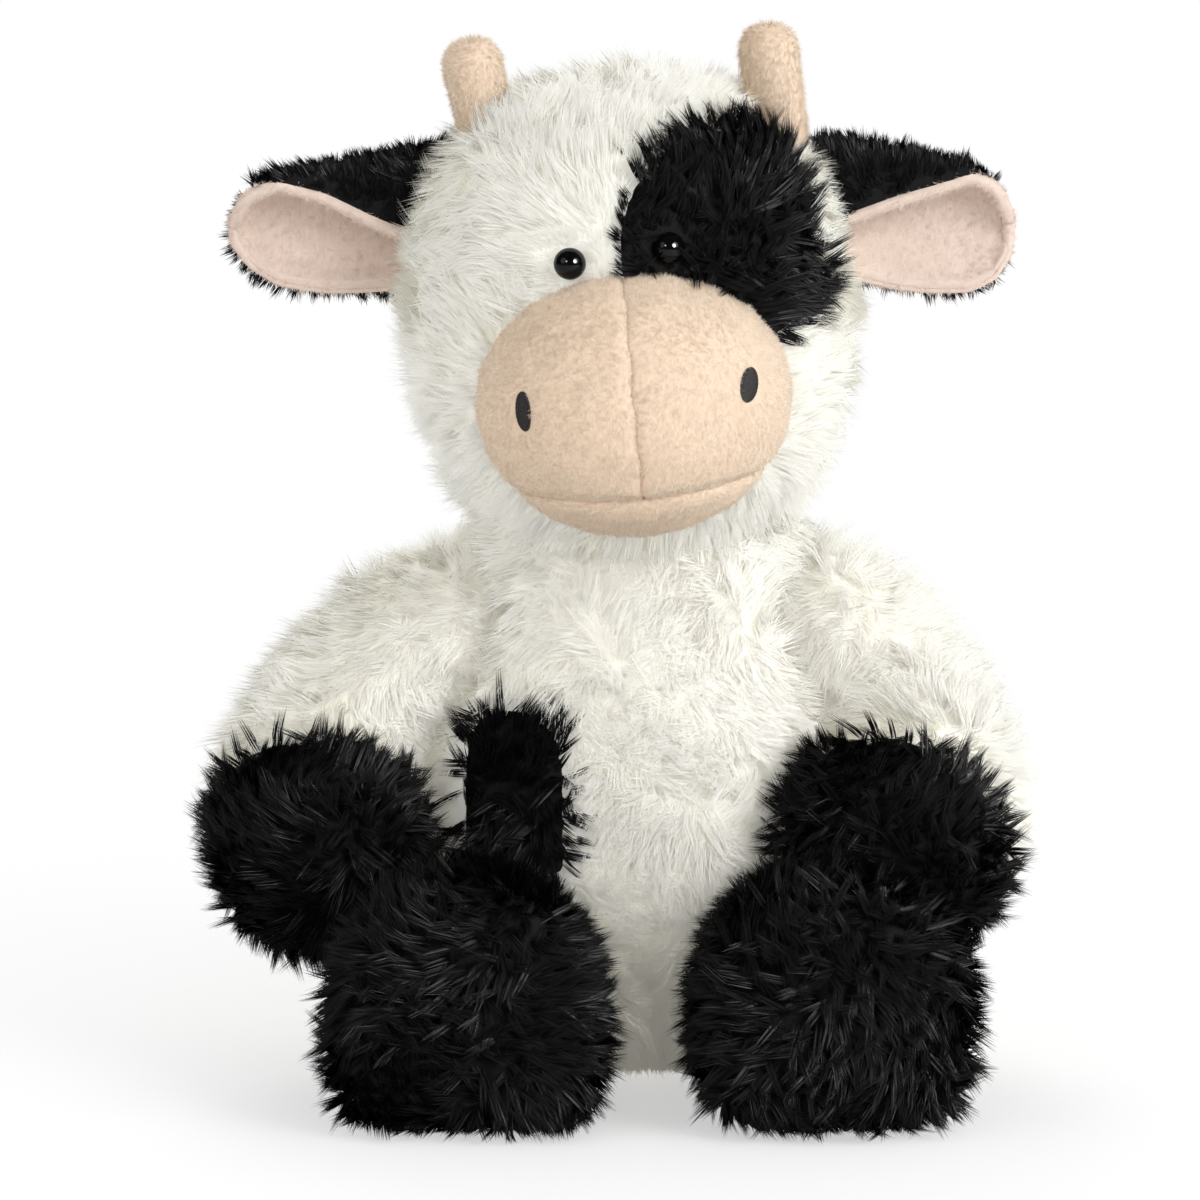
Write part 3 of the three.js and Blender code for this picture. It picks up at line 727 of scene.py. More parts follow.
def spun(name, profile, front, along, material):
    """A profile of radius and height spun round an axis."""
    bm = bmesh.new()
    corners = [bm.verts.new((r * MM, 0, z * MM)) for r, z in profile]
    edges = [bm.edges.new(pair) for pair in zip(corners, corners[1:])]
    bmesh.ops.spin(
        bm, geom=corners + edges, cent=(0, 0, 0), axis=(0, 0, 1), angle=2 * math.pi,
        steps=EYE_STEPS, use_merge=True,
    )
    bmesh.ops.remove_doubles(bm, verts=bm.verts, dist=0.001 * MM)
    bmesh.ops.recalc_face_normals(bm, faces=bm.faces)
    turn = along.to_track_quat("Z", "Y").to_matrix().to_4x4()
    bmesh.ops.transform(bm, matrix=Matrix.Translation(front) @ turn, verts=bm.verts)
    return piece(name, in_order(bm), material)


eyes = {}
for side in SIDES:
    front, along = axis_of(f"eye_{side}")
    eyes[f"eye_{side}"] = spun(f"eye_{side}_dome", EYE_PROFILE, front, along, GLOSS.material)
    print("eye", side, [round(c / MM, 1) for c in front], [round(c, 2) for c in along])

# %% [markdown]
# A nostril is satin stitch: threads laid side by side over an oval, inside a line of small stitches.
# One thread is a stretched sphere that lies on the muzzle, and each copy has the length of the oval
# there. All are slanted a little, as a machine lays them.

# %% Nostrils
THREAD = Cloth("grey_thread", Roughness=0.6, Specular_IOR_Level=0.15)
ply = THREAD.noise(2600, 2.0, stretch=(1, 0.2, 1))
THREAD.wear(
    Base_Color=THREAD.mix(ply, linear(20, 19, 20), linear(66, 63, 62)),
    Normal=THREAD.bump(ply, 0.1 * MM),
)
# half width and half height in mm, and how many degrees the oval leans
NOSTRIL = {"left": (2.9, 4.9, 14), "right": (2.5, 5.4, -6)}
SATIN_ROWS = 24
SATIN_HALF_THICK = 0.34
SATIN_SLANT = 0.18
EDGE_STITCHES = 26
EDGE_HALF_LONG = 0.75
EDGE_HALF_THICK = 0.28
THREAD_LIFT = 0.25 * MM


def tree_of(made):
    """A search tree of an object's faces, all facing outwards."""
    bm = bmesh.new()
    bm.from_mesh(made.data)
    bmesh.ops.recalc_face_normals(bm, faces=bm.faces)
    tree = BVHTree.FromBMesh(bm)
    bm.free()
    return tree


muzzle_tree = tree_of(muzzle_whole)


def lay_thread(bm, start, way, half_long, half_thick):
    """One thread, a stretched sphere that lies on the muzzle."""
    spot, lift, index, far = muzzle_tree.find_nearest(start)
    shape = bmesh.ops.create_uvsphere(bm, u_segments=8, v_segments=8, radius=1)["verts"]
    bmesh.ops.scale(bm, vec=(half_thick * MM, half_thick * MM, half_long * MM), verts=shape)
    turn = way.to_track_quat("Z", "Y").to_matrix().to_4x4()
    bmesh.ops.transform(bm, matrix=Matrix.Translation(spot + lift * THREAD_LIFT) @ turn, verts=shape)


def stitched(name, side):
    """Satin stitch over an oval on the muzzle."""
    half_wide, half_high, slant = NOSTRIL[side]
    place, out, index, far = muzzle_tree.find_nearest(centre_of(f"nostril_{side}"))
    level = Vector((1, 0, 0))
    level = (level - out * level.dot(out)).normalized()
    up = out.cross(level)
    if up.z < 0:
        up.negate()
    turn = math.radians(slant)
    across = level * math.cos(turn) - up * math.sin(turn)
    up = up * math.cos(turn) + level * math.sin(turn)
    bm = bmesh.new()
    for row in range(SATIN_ROWS):
        above = half_high * (2 * (row + 0.5) / SATIN_ROWS - 1)
        half_long = half_wide * math.sqrt(1 - (above / half_high) ** 2)
        way = (across + up * SATIN_SLANT).normalized()
        lay_thread(bm, place + up * above * MM, way, half_long, SATIN_HALF_THICK)
    for stitch in range(EDGE_STITCHES):
        angle = 2 * math.pi * stitch / EDGE_STITCHES
        beside, above = half_wide * math.cos(angle), half_high * math.sin(angle)
        way = across * -half_wide * math.sin(angle) + up * half_high * math.cos(angle)
        start = place + across * beside * MM + up * above * MM
        lay_thread(bm, start, way.normalized(), EDGE_HALF_LONG, EDGE_HALF_THICK)
    return piece(name, in_order(bm), THREAD.material)


nostrils = {f"nostril_{side}": stitched(f"nostril_{side}_stitching", side) for side in SIDES}
print("nostril faces", {n: len(o.data.polygons) for n, o in nostrils.items()})

# %% [markdown]
# A tuft of pile is a little brush. One fibre starts as an edge across its waist, is drawn out to a
# tip and down to a root, and copies of it stand round a point. White pile is fine and fluffy, black
# pile stands in brushes, and velour has a fuzz that never turns its back to the light. Each has a
# few tufts of its own. One seeded source of random numbers gives the same pile on each run.

# %% Tufts
TUFTS_OF_A_KIND = 5
rng = np.random.default_rng(7)


def tuft(radius, width, shortest, fibres, waist=0.4, turned=1.25):
    """The corners of a brush of unit length, its faces, and each corner's fibre number."""
    bm = bmesh.new()
    for fibre in range(fibres):
        turn = rng.uniform(0, 2 * math.pi)
        out = radius * math.sqrt(rng.uniform(0, 1))
        root = Vector((out * math.cos(turn), out * math.sin(turn), 0))
        roll_angle = rng.uniform(-turned, turned)
        half = Vector((math.cos(roll_angle), math.sin(roll_angle), 0)) * width / 2
        reach = rng.uniform(shortest, 1)
        middle = root + Vector((0, 0, waist * reach))
        edge = bm.edges.new([bm.verts.new(middle - half), bm.verts.new(middle + half)])
        for height in (reach, 0) if waist else (reach,):
            drawn = bmesh.ops.extrude_edge_only(bm, edges=[edge])["geom"]
            corners = [v for v in drawn if isinstance(v, bmesh.types.BMVert)]
            bmesh.ops.pointmerge(bm, verts=corners, merge_co=root + Vector((0, 0, height)))
    bm.verts.index_update()
    corners = np.array([list(v.co) for v in bm.verts])
    number = np.zeros(len(bm.verts))
    for face in bm.faces:
        known = max(number[v.index] for v in face.verts) or rng.uniform(0.02, 0.98)
        for v in face.verts:
            number[v.index] = known
    faces = [[v.index for v in f.verts] for f in bm.faces]
    bm.free()
    return corners, faces, number


FLUFF = [tuft(1.9 * MM, 0.3 * MM, 0.5, 24) for kind in range(TUFTS_OF_A_KIND)]
BRUSH = [tuft(1.2 * MM, 0.34 * MM, 0.7, 20) for kind in range(TUFTS_OF_A_KIND)]
FUZZ = [tuft(0.7 * MM, 0.22 * MM, 0.6, 6, waist=0, turned=0.4) for kind in range(TUFTS_OF_A_KIND)]
print("faces of a tuft: white", len(FLUFF[0][1]), "black", len(BRUSH[0][1]), "velour", len(FUZZ[0][1]))

# %% [markdown]
# Plush is brushed in swirls, never all one way. A few slow waves through space give each point a lie
# for the pile, and the tufts that stand there follow it, more or less. The tufts stand at even
# chances all over a skin: each gets a share of its area, and a place in the triangle it falls in.

# %% Roots and the lie of the pile
WAVES = 9
WAVE_LENGTHS = (0.018, 0.075)


def swirls(points):
    """A direction at each point, from a few waves that run all ways through space."""
    lie = np.zeros_like(points)
    for wave in range(WAVES):
        heading = rng.normal(size=3)
        heading /= np.linalg.norm(heading)
        length = rng.uniform(*WAVE_LENGTHS)
        phase = points @ heading * 2 * math.pi / length + rng.uniform(0, 2 * math.pi)
        lie += np.sin(phase)[:, None] * rng.normal(size=3)
    return lie / math.sqrt(WAVES)


def unit(vectors):
    """The vectors, each with a length of 1."""
    return vectors / np.maximum(np.linalg.norm(vectors, axis=1), 1e-12)[:, None]


def surface_of(skin):
    """A skin's corners, triangles and the way each corner faces."""
    mesh = skin.data
    mesh.calc_loop_triangles()
    corners = np.empty(len(mesh.vertices) * 3, np.float32)
    facing = np.empty(len(mesh.vertices) * 3, np.float32)
    triangles = np.empty(len(mesh.loop_triangles) * 3, np.int32)
    mesh.vertices.foreach_get("co", corners)
    mesh.vertices.foreach_get("normal", facing)
    mesh.loop_triangles.foreach_get("vertices", triangles)
    corners, triangles, facing = (x.reshape(-1, 3) for x in (corners, triangles, facing))
    return corners.astype(float), triangles, facing.astype(float)


def scatter(skin, spacing):
    """Points spread over a skin, one for each square of that spacing, and the way out at each."""
    corners, triangles, facing = surface_of(skin)
    a, b, c = (corners[triangles[:, i]] for i in range(3))
    area = np.linalg.norm(np.cross(b - a, c - a), axis=1) / 2
    count = int(area.sum() / spacing**2)
    ahead = np.cumsum(area) / area.sum()
    even = (np.arange(count) + rng.uniform(0, 1, count)) / count
    chosen = np.searchsorted(ahead, even)
    u, v = rng.uniform(0, 1, (2, count))
    u, v = np.where(u + v > 1, 1 - u, u), np.where(u + v > 1, 1 - v, v)

    def blend(values):
        shares = (1 - u - v, u, v)
        return sum(s[:, None] * values[triangles[chosen, i]] for i, s in enumerate(shares))

    return blend(corners), unit(blend(facing))


# %% [markdown]
# Pile stops where another piece begins. Each planted tuft looks along its own way for a neighbour:
# one that meets its wall from within starts inside it and isn't planted, and one that would reach it
# is cut shorter. Arms, legs and the head move off what they rest on, so short pile is left hidden
# between those pieces, and the cloth isn't bare when they part.

# %% Room beside the neighbours
FLOOR = 0.6 * MM
SHORT_OF_WALL_SHARE = 0.9
HIDDEN = 5 * MM
PRESSED_IN = 9 * MM


def room_for(roots, ways, lengths, neighbours):
    """How long each tuft may be beside its neighbours, and 0 where it starts inside one.

    A neighbour that moves off hides short pile, and only pile deep inside it is left out.
    """
    lengths = lengths.copy()
    for tree, low, high, moves_off in neighbours:
        reach = lengths.max()
        near = ((roots > low - reach) & (roots < high + reach)).all(1)
        for i in np.flatnonzero(near):
            way = Vector(ways[i])
            place, facing, index, far = tree.ray_cast(Vector(roots[i]), way)
            if place is None:
                continue
            room = far * SHORT_OF_WALL_SHARE
            if facing.dot(way) > 0:
                room = min(room, HIDDEN) if moves_off and far < PRESSED_IN else 0
            elif moves_off:
                room = max(room, HIDDEN)
            lengths[i] = min(lengths[i], room)
    return lengths


def room_over_floor(roots, ways):
    """How long each tuft may be before it meets the floor."""
    falls = ways[:, 2] < 0
    room = np.where(falls, (roots[:, 2] - FLOOR) / np.maximum(-ways[:, 2], 1e-6), 1)
    return np.maximum(room, 0)


def far_from_cut(skin, roots):
    """How far roots are from the flat cut that closes a skin."""
    if skin.name not in CUTS:
        return np.full(len(roots), 1.0)
    middle, across = CUTS[skin.name]
    return np.abs((roots - middle) @ across)


# %% [markdown]
# All tufts of one skin are worked out together as rows of numbers, because a toy has tens of
# thousands of them. A copy of a tuft is leant, bent and spread at its root, and the copies are
# joined in one mesh that keeps the way out of the skin as part of its shading.

# %% Plant one skin
ON_CUT = 0.3 * MM
ROOT_DEPTH = 0.3 * MM


def pile_mesh(name, cloth, soft_light, points, ups, loops, totals, maps):
    """One object from the rows of all its tufts."""
    mesh = bpy.data.meshes.new(name)
    mesh.vertices.add(len(points))
    mesh.vertices.foreach_set("co", points.astype(np.float32).ravel())
    mesh.loops.add(len(loops))
    mesh.loops.foreach_set("vertex_index", loops.astype(np.int32))
    mesh.polygons.add(len(totals))
    starts = np.concatenate([[0], np.cumsum(totals)[:-1]])
    mesh.polygons.foreach_set("loop_start", starts.astype(np.int32))
    mesh.update(calc_edges=True)
    layer = mesh.uv_layers.new(name=PILE_MAP, do_init=False)
    layer.uv.foreach_set("vector", maps[loops].astype(np.float32).ravel())
    facing = np.empty(len(points) * 3, np.float32)
    mesh.vertices.foreach_get("normal", facing)
    facing = facing.reshape(-1, 3)
    mesh.shade_smooth()
    mesh.normals_split_custom_set_from_vertices(unit(facing * (1 - soft_light) + ups * soft_light))
    mesh.materials.append(cloth)
    made = bpy.data.objects.new(name, mesh)
    bpy.context.scene.collection.objects.link(made)
    print(name, len(points), "corners", int((totals - 2).sum()), "triangles")
    return made


def copies(kind, tufts, first):
    """The rows for all copies of one tuft, whose corners are numbered from the first."""
    corners, faces, number = kind
    count = len(tufts["root"])
    root, out, comb, side = (tufts[key][:, None] for key in ("root", "out", "comb", "side"))
    length, lean, bent = (tufts[key][:, None] for key in ("length", "lean", "bent"))
    share = corners[:, 2][None, :]
    lean_here = lean + (bent - lean) * share / 2
    rise = length * share * np.cos(lean_here)
    drift = length * share * np.sin(lean_here)
    wide = 1 + (tufts["flare"][:, None] - 1) * share
    x, y = corners[:, 0][None] * wide, corners[:, 1][None] * wide
    points = (
        root - out * ROOT_DEPTH + out * rise[..., None]
        + comb * (drift + y)[..., None] + side * x[..., None]
    )
    points[..., 2] = np.maximum(points[..., 2], FLOOR)
    strand = (number[None] * 0.7 + 0.3 * tufts["tint"][:, None]) % 1
    along = np.repeat(share, count, 0) * 0.96 + 0.02
    order = np.concatenate([np.array(f) for f in faces])
    return (
        points.reshape(-1, 3),
        np.repeat(tufts["out"], len(corners), 0),
        (first + np.arange(count)[:, None] * len(corners) + order[None]).ravel(),
        np.tile([len(f) for f in faces], count),
        np.stack([strand, along], -1).reshape(-1, 2),
    )


def plant(name, skin, style, length, lie, neighbours=(), keep=None, trim=None):
    """One object of pile over a skin, each tuft cut to the room that it has."""
    roots, out = scatter(skin, style["spacing"])
    sewn = far_from_cut(skin, roots) > ON_CUT
    roots, out = roots[sewn], out[sewn]
    if keep is not None:
        kept = keep(roots, out)
        roots, out = roots[kept], out[kept]
    count = len(roots)
    wish = lie(roots, out) + style["swirl"] * swirls(roots)
    wish += style["jitter"] * rng.normal(size=(count, 3))
    comb = unit(wish - (wish * out).sum(1)[:, None] * out)
    lean = rng.uniform(*np.radians(style["lean"]), count)
    bent = lean + np.radians(rng.uniform(*style["bend"], count))
    middle_lean = (lean + bent) / 2
    ways = out * np.cos(middle_lean)[:, None] + comb * np.sin(middle_lean)[:, None]
    lengths = rng.uniform(*length, count) * MM
    if trim is not None:
        lengths *= trim(roots)
    lengths = np.minimum(lengths, room_over_floor(roots, ways))
    lengths = room_for(roots, ways, lengths, neighbours)
    tufts = {
        "root": roots, "out": out, "comb": comb, "side": np.cross(out, comb),
        "length": lengths, "lean": lean, "bent": bent,
    }
    long = lengths > style["shortest"] * MM
    tufts = {key: rows[long] for key, rows in tufts.items()}
    count = int(long.sum())
    tufts["flare"] = rng.uniform(*style["flare"], count)
    tufts["tint"] = rng.uniform(0, 1, count)
    kind_of = rng.integers(0, len(style["kinds"]), count)
    rows, first = [], 0
    for number, kind in enumerate(style["kinds"]):
        mine = {key: values[kind_of == number] for key, values in tufts.items()}
        rows.append(copies(kind, mine, first))
        first += len(rows[-1][0])
    return pile_mesh(name, style["cloth"], style["soft_light"], *map(np.concatenate, zip(*rows)))


# %% [markdown]
# A style of pile is what a cloth brings with it: its tufts, how dense they stand and how far they
# lean and swirl. White pile is shaded as the skin under it, because light passes from fibre to
# fibre, and black pile mostly fibre by fibre.

# %% Styles of pile
# spacing in metres, lean and bend in degrees, the shortest length in mm
SHAG = {"swirl": 0.8, "jitter": 0.45, "bend": (5, 40), "shortest": 1.5}
WHITE_SHAG = SHAG | {
    "cloth": WHITE_PILE, "kinds": FLUFF, "spacing": 2.8 * MM, "lean": (25, 58), "flare": (0.9, 1.8),
    "soft_light": 1.0,
}
BLACK_SHAG = SHAG | {
    "cloth": BLACK_PILE, "kinds": BRUSH, "spacing": 2.45 * MM, "lean": (18, 55), "flare": (0.7, 1.6),
    "soft_light": 0.35,
}
EAR_SHAG = BLACK_SHAG | {"spacing": 1.8 * MM}
MARGIN_SHAG = WHITE_SHAG | {"spacing": 2.4 * MM}
NAP = {
    "kinds": FUZZ, "swirl": 0.4, "jitter": 0.3, "bend": (0, 10), "shortest": 0.8, "flare": (1.0, 2.0),
    "soft_light": 1.0, "lean": (35, 62),
}
PEACH_NAP = NAP | {"cloth": PEACH_FUZZ, "spacing": 1.05 * MM}
HORN_NAP = PEACH_NAP | {"lean": (30, 58)}
PINK_NAP = NAP | {"cloth": PINK_FUZZ, "spacing": 1.3 * MM}
# lengths in mm
BODY_LENGTH = (10, 14)
LIMB_LENGTH = (10, 15)
MARGIN_LENGTH = (9, 13)
EAR_LENGTH = (4.5, 8)
TAIL_LENGTH = (4, 7)
NAP_LENGTH = (1.2, 2.2)
HORN_NAP_LENGTH = (1.6, 2.7)
print("white tufts to a square decimetre", round(0.01 / WHITE_SHAG["spacing"] ** 2))

# %% [markdown]
# Not every piece is in another's way. A panel grows out of its own skin, the two parts of a limb are
# sewn together, and the head's pile lies over the roots of the ears. All other pairs keep clear.

# %% Which pieces stand in each other's way
shaggy = {"torso": torso, "head": head, **limbs, **panels}
shaggy.update({n: o for n, o in ears.items() if "back" in n})
short = {**muzzle, **horns, **{n: o for n, o in ears.items() if "lining" in n}}
solids = {n: o for n, o in {**shaggy, **short, **eyes}.items() if n not in PANELS}
INLAID = {"belly_patch": "torso", "eye_patch": "head"}
NECK_PAIR = {"torso": "head", "head": "torso"}
SEWN_IN_TWO = ("arm", "leg", "ear", "tail")
STUFFED = ("torso", "head", "arm", "leg")


def neighbour(made):
    """An object's search tree and the corners of its box."""
    corners = surface_of(made)[0]
    return tree_of(made), corners.min(0), corners.max(0)


touching = {n: neighbour(o) for n, o in {**solids, "muzzle": muzzle_whole}.items()}


def beside(name):
    """What pile on a piece has to make room for, and whether that moves off it."""
    limb = name.rsplit("_", 1)[0] if name.startswith(SEWN_IN_TWO) else None
    found = []
    for other, mark in touching.items():
        if other == name or other in (INLAID.get(name), NECK_PAIR.get(name)):
            continue
        if limb and other.startswith(limb):
            continue
        if name in ("head", "eye_patch") and other.startswith("ear"):
            continue
        found.append((*mark, name.startswith(STUFFED) and other.startswith(STUFFED)))
    return found


print("the left hoof keeps clear of", len(beside("arm_left_hoof")), "pieces")

# %% [markdown]
# Some roots are left out. White pile doesn't grow on an inlaid panel, apart from the panel's margin by
# the ear, where the photograph shows white pile over black. Pile on an ear's back stays off the
# side that its own lining covers.

# %% Where pile grows
PANEL_EDGE = 3.2 * MM
LINING_NEAR = 6 * MM
OFF_SKIN = 0.2 * MM
# the margin by the ear, in mm: how far out it starts, and how it slants inwards above a height
MARGIN_OUT = 51.5
MARGIN_SLANT = 0.3
MARGIN_SLANT_FROM = 235


def by_ear(roots):
    """True at the side of the eye patch by the ear, where white pile lies over its margin."""
    above = np.maximum(roots[:, 2] / MM - MARGIN_SLANT_FROM, 0)
    return roots[:, 0] / MM > MARGIN_OUT - MARGIN_SLANT * above


def inlaid_in(host):
    """The search trees of the panels let into a skin."""
    return [touching[panel][0] for panel, skin in INLAID.items() if skin == host]


def off_panels(name):
    """True where no inlaid panel covers a root."""

    def kept(roots, out):
        clear = np.ones(len(roots), bool)
        for tree in inlaid_in(name):
            for i, root in enumerate(roots):
                clear[i] &= tree.find_nearest(Vector(root), PANEL_EDGE)[0] is None
        return clear

    return kept


def outer_side(ear):
    """True for roots on the ear's back that don't face its own lining."""
    lining = touching[f"{ear}_lining"][0]

    def kept(roots, out):
        starts = roots + out * OFF_SKIN
        return np.array([
            lining.ray_cast(Vector(r), Vector(w), LINING_NEAR)[0] is None for r, w in zip(starts, out)
        ])

    return kept


# %% [markdown]
# The pile isn't equally long. It is clipped short round the eyes and beside a panel, so that both
# show, and at a cuff, where black pile lies over white. It is longer over the roots of the ears.

# %% Where pile is short
EYE_CENTRES = np.array([list(centre_of(f"eye_{side}")) for side in SIDES])
# in mm, apart from the last two, which are in metres
EAR_ROOT_OUT = 42
EAR_ROOT_LEVEL = 242
EAR_ROOT_HALF_HEIGHT = 34
EAR_ROOT_FADE = 8
BARE_ROUND_EYE = 5
EYE_FADE = 6.5
PATCH_EDGE = 7.4
PATCH_FADE = 9
PANEL_FADE = 12 * MM
CUFF_FADE = 12 * MM


def beside_ears(roots):
    """From 0 to 1, how near a root is to the root of an ear."""
    out = (np.abs(roots[:, 0]) / MM - EAR_ROOT_OUT) / EAR_ROOT_FADE
    level = (EAR_ROOT_HALF_HEIGHT - np.abs(roots[:, 2] / MM - EAR_ROOT_LEVEL)) / EAR_ROOT_FADE
    return np.clip(out, 0, 1) * np.clip(level, 0, 1)


def face_trim(roots):
    """The share of its length that pile keeps: more over the ears' roots, and less round the eyes."""
    share = 1 + 0.35 * beside_ears(roots)
    for eye in EYE_CENTRES:
        far = np.linalg.norm((roots - eye)[:, [0, 2]], axis=1)
        share = np.minimum(share, 0.2 + 0.8 * np.clip((far / MM - BARE_ROUND_EYE) / EYE_FADE, 0, 1))
    return share


def patch_trim(roots):
    """Black pile is short by the eye, and along the upright edge of its patch."""
    return face_trim(roots) * (0.4 + 0.6 * np.clip((roots[:, 0] / MM + PATCH_EDGE) / PATCH_FADE, 0, 1))


def panel_trim(name):
    """White pile is short beside an inlaid panel, so the panel keeps its outline."""

    def trim(roots):
        share = np.ones(len(roots))
        for tree in inlaid_in(name):
            for i, root in enumerate(roots):
                far = tree.find_nearest(Vector(root), PANEL_FADE)[3]
                if far is not None:
                    share[i] = min(share[i], 0.4 + 0.6 * far / PANEL_FADE)
        if name == "head":
            share = np.where(by_ear(roots), 1, share) * face_trim(roots)
        return share

    return trim


def short_at_cuff(skin):
    """White pile is short beside a cuff, where black pile lies over it."""
    return lambda roots: 0.35 + 0.65 * np.clip(far_from_cut(skin, roots) / CUFF_FADE, 0, 1)


# %% [markdown]
# Each skin is combed its own way: the body's pile hangs, the face's is combed back from the muzzle
# and the eyes, and the ends of the limbs are brushed outwards all round. Velour lies back and down.

# %% Which way pile is combed
EYE_COMB_REACH = 9 * MM
EAR_UP_FROM = 236 * MM


def hanging(roots, out):
    """Pile that hangs, stands a little away from the middle, and lies back on the shoulders."""
    return np.stack([roots[:, 0] * 3, roots[:, 1] * 3 + 0.45, np.full(len(roots), -0.6)], 1)


def off_face(roots, out):
    """Pile combed back from the muzzle, and round the eyes."""
    away = unit(roots - np.array(MUZZLE_CENTRE)) * 1.2
    for eye in EYE_CENTRES:
        gap = roots - eye
        far = np.linalg.norm(gap[:, [0, 2]], axis=1)
        away += unit(gap) * (2.4 * np.exp(-((far / EYE_COMB_REACH) ** 2)))[:, None]
    away[:, 0] += np.sign(roots[:, 0]) * 1.6 * beside_ears(roots)
    away[:, 1] -= 1.9 * beside_ears(roots)
    return away


def outwards_from(name):
    """Pile that stands out from the middle of a paw."""
    middle = np.array(centre_of(name))
    return lambda roots, out: unit(roots - middle) * 0.5 + np.array([0, -0.1, 0.15])


def off_patch(name, lie):
    """Pile that lies over the edge of its patch, on top of the way the pile round it lies."""
    outwards = outwards_from(name)

    def way(roots, out):
        wish = outwards(roots, out) * 2 + lie(roots, out) * 0.5
        wish[:, 0] = np.where(wish[:, 0] < 0, wish[:, 0] * 0.3, wish[:, 0])
        return wish

    return way


def ear_lie(roots, out):
    """Pile on an ear points up over the fold, and down at the lower edge."""
    upwards = np.where(roots[:, 2] > EAR_UP_FROM, 0.9, -1.2)
    return np.stack([np.sign(roots[:, 0]) * 0.5, np.zeros(len(roots)), upwards], 1)


def brushed(*way):
    """The lie of velour, brushed all one way."""
    return lambda roots, out: np.tile(np.array(way), (len(roots), 1))


LIES = {
    "eye_patch": off_patch("eye_patch", off_face),
    "belly_patch": off_patch("belly_patch", hanging),
    "ear_left_back": ear_lie,
    "ear_right_back": ear_lie,
}

# %% [markdown]
# The torso and the head carry most of the pile. Each is planted in three objects, front to back, so
# that no object grows too large to hand on as a file.

# %% Plant the torso and the head
MIDDLE_HALF_DEPTH = 20 * MM
piles = {}


def thirds(name):
    """The roots that each of three objects of pile takes, from the front to the back."""
    clear = off_panels(name)
    return {
        "front": lambda roots, out: (roots[:, 1] < -MIDDLE_HALF_DEPTH) & clear(roots, out),
        "middle": lambda roots, out: (abs(roots[:, 1]) <= MIDDLE_HALF_DEPTH) & clear(roots, out),
        "back": lambda roots, out: roots[:, 1] > MIDDLE_HALF_DEPTH,
    }


for name, skin, lie in (("torso", torso, hanging), ("head", head, off_face)):
    for part, keep in thirds(name).items():
        title = f"{name}_pile_{part}"
        piles[title] = plant(
            title, skin, WHITE_SHAG, BODY_LENGTH, lie, beside(name), keep, panel_trim(name)
        )

# %% [markdown]
# The smaller skins follow by their cloth. The eye patch comes twice: its own black pile, and the
# white pile along its margin.

# %% Plant the limbs, panels, ears and tail
for name, skin in shaggy.items():
    if name in ("torso", "head"):
        continue
    black = skin.data.materials[0] == BLACK_GROUND
    style = BLACK_SHAG if black else WHITE_SHAG
    length = TAIL_LENGTH if "tail" in name else LIMB_LENGTH
    lie = LIES.get(name) or (outwards_from(name) if black else hanging)
    keep = None
    trim = None if black else short_at_cuff(skin)
    if "ear" in name:
        style, length, keep = EAR_SHAG, EAR_LENGTH, outer_side(name.removesuffix("_back"))
    if name == "eye_patch":
        keep, trim = lambda roots, out: ~by_ear(roots), patch_trim
    piles[name] = plant(name + "_pile", skin, style, length, lie, beside(name), keep, trim)
piles["eye_patch_margin"] = plant(
    "eye_patch_pile_margin", panels["eye_patch"], MARGIN_SHAG, MARGIN_LENGTH, off_face,
    beside("eye_patch"), lambda roots, out: by_ear(roots),
)

# %% [markdown]
# Velour gets a thin fuzz of the same make. It keeps off the nostrils, where the stitches press the
# pile flat.

# %% Plant the velour's short pile
STITCH_EDGE = 0.9 * MM
stitches = [tree_of(made) for made in nostrils.values()]


def off_stitches(roots, out):
    """True where no nostril covers a root."""
    return np.array([
        all(tree.find_nearest(Vector(root), STITCH_EDGE)[0] is None for tree in stitches)
        for root in roots
    ])


for name, skin in short.items():
    style, length, lie, keep = PEACH_NAP, NAP_LENGTH, brushed(0.0, 1.0, -0.6), None
    if "horn" in name:
        style, length, lie = HORN_NAP, HORN_NAP_LENGTH, brushed(0.0, 0.3, -1.0)
    if "lining" in name:
        style = PINK_NAP
    if name in PANELS:
        keep = off_stitches
    piles[name] = plant(name + "_pile", skin, style, length, lie, keep=keep)
print("pile triangles", sum(len(o.data.loop_triangles) for o in piles.values()))

# %% [markdown]
# Nobody sees the fillings, but they are there when the toy is taken apart: white fibre, a cloth pouch
# of pellets in the seat, and the clear washers that lock the eyes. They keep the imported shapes,
# eased like the skins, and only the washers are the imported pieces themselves.

# %% Fillings
FILL = Cloth("fibre_fill", Roughness=0.95)
wisps = FILL.noise(240, 4.0, 0.7)
FILL.wear(
    Base_Color=FILL.mix(wisps, linear(226, 226, 222), linear(252, 252, 250)),
    Normal=FILL.bump(wisps, 1.2 * MM),
)
POUCH = Cloth("pouch_cloth", Roughness=0.9)
weave = POUCH.noise(1500, 1.0)
POUCH.wear(
    Base_Color=POUCH.mix(weave, linear(214, 210, 200), linear(240, 237, 230)),
    Normal=POUCH.bump(weave, 0.3 * MM),
)
NYLON = Cloth("clear_nylon", Roughness=0.35)
flow = NYLON.noise(300, 2.0)
NYLON.wear(Base_Color=NYLON.mix(flow, linear(206, 206, 204), linear(224, 224, 222)))
FILLING_VOXEL = 4 * MM
SMALL_FILLING_VOXEL = 2 * MM
SMALL_FILLING_HEIGHT = 40 * MM
FILLING_EASE = 3
fillings = {}
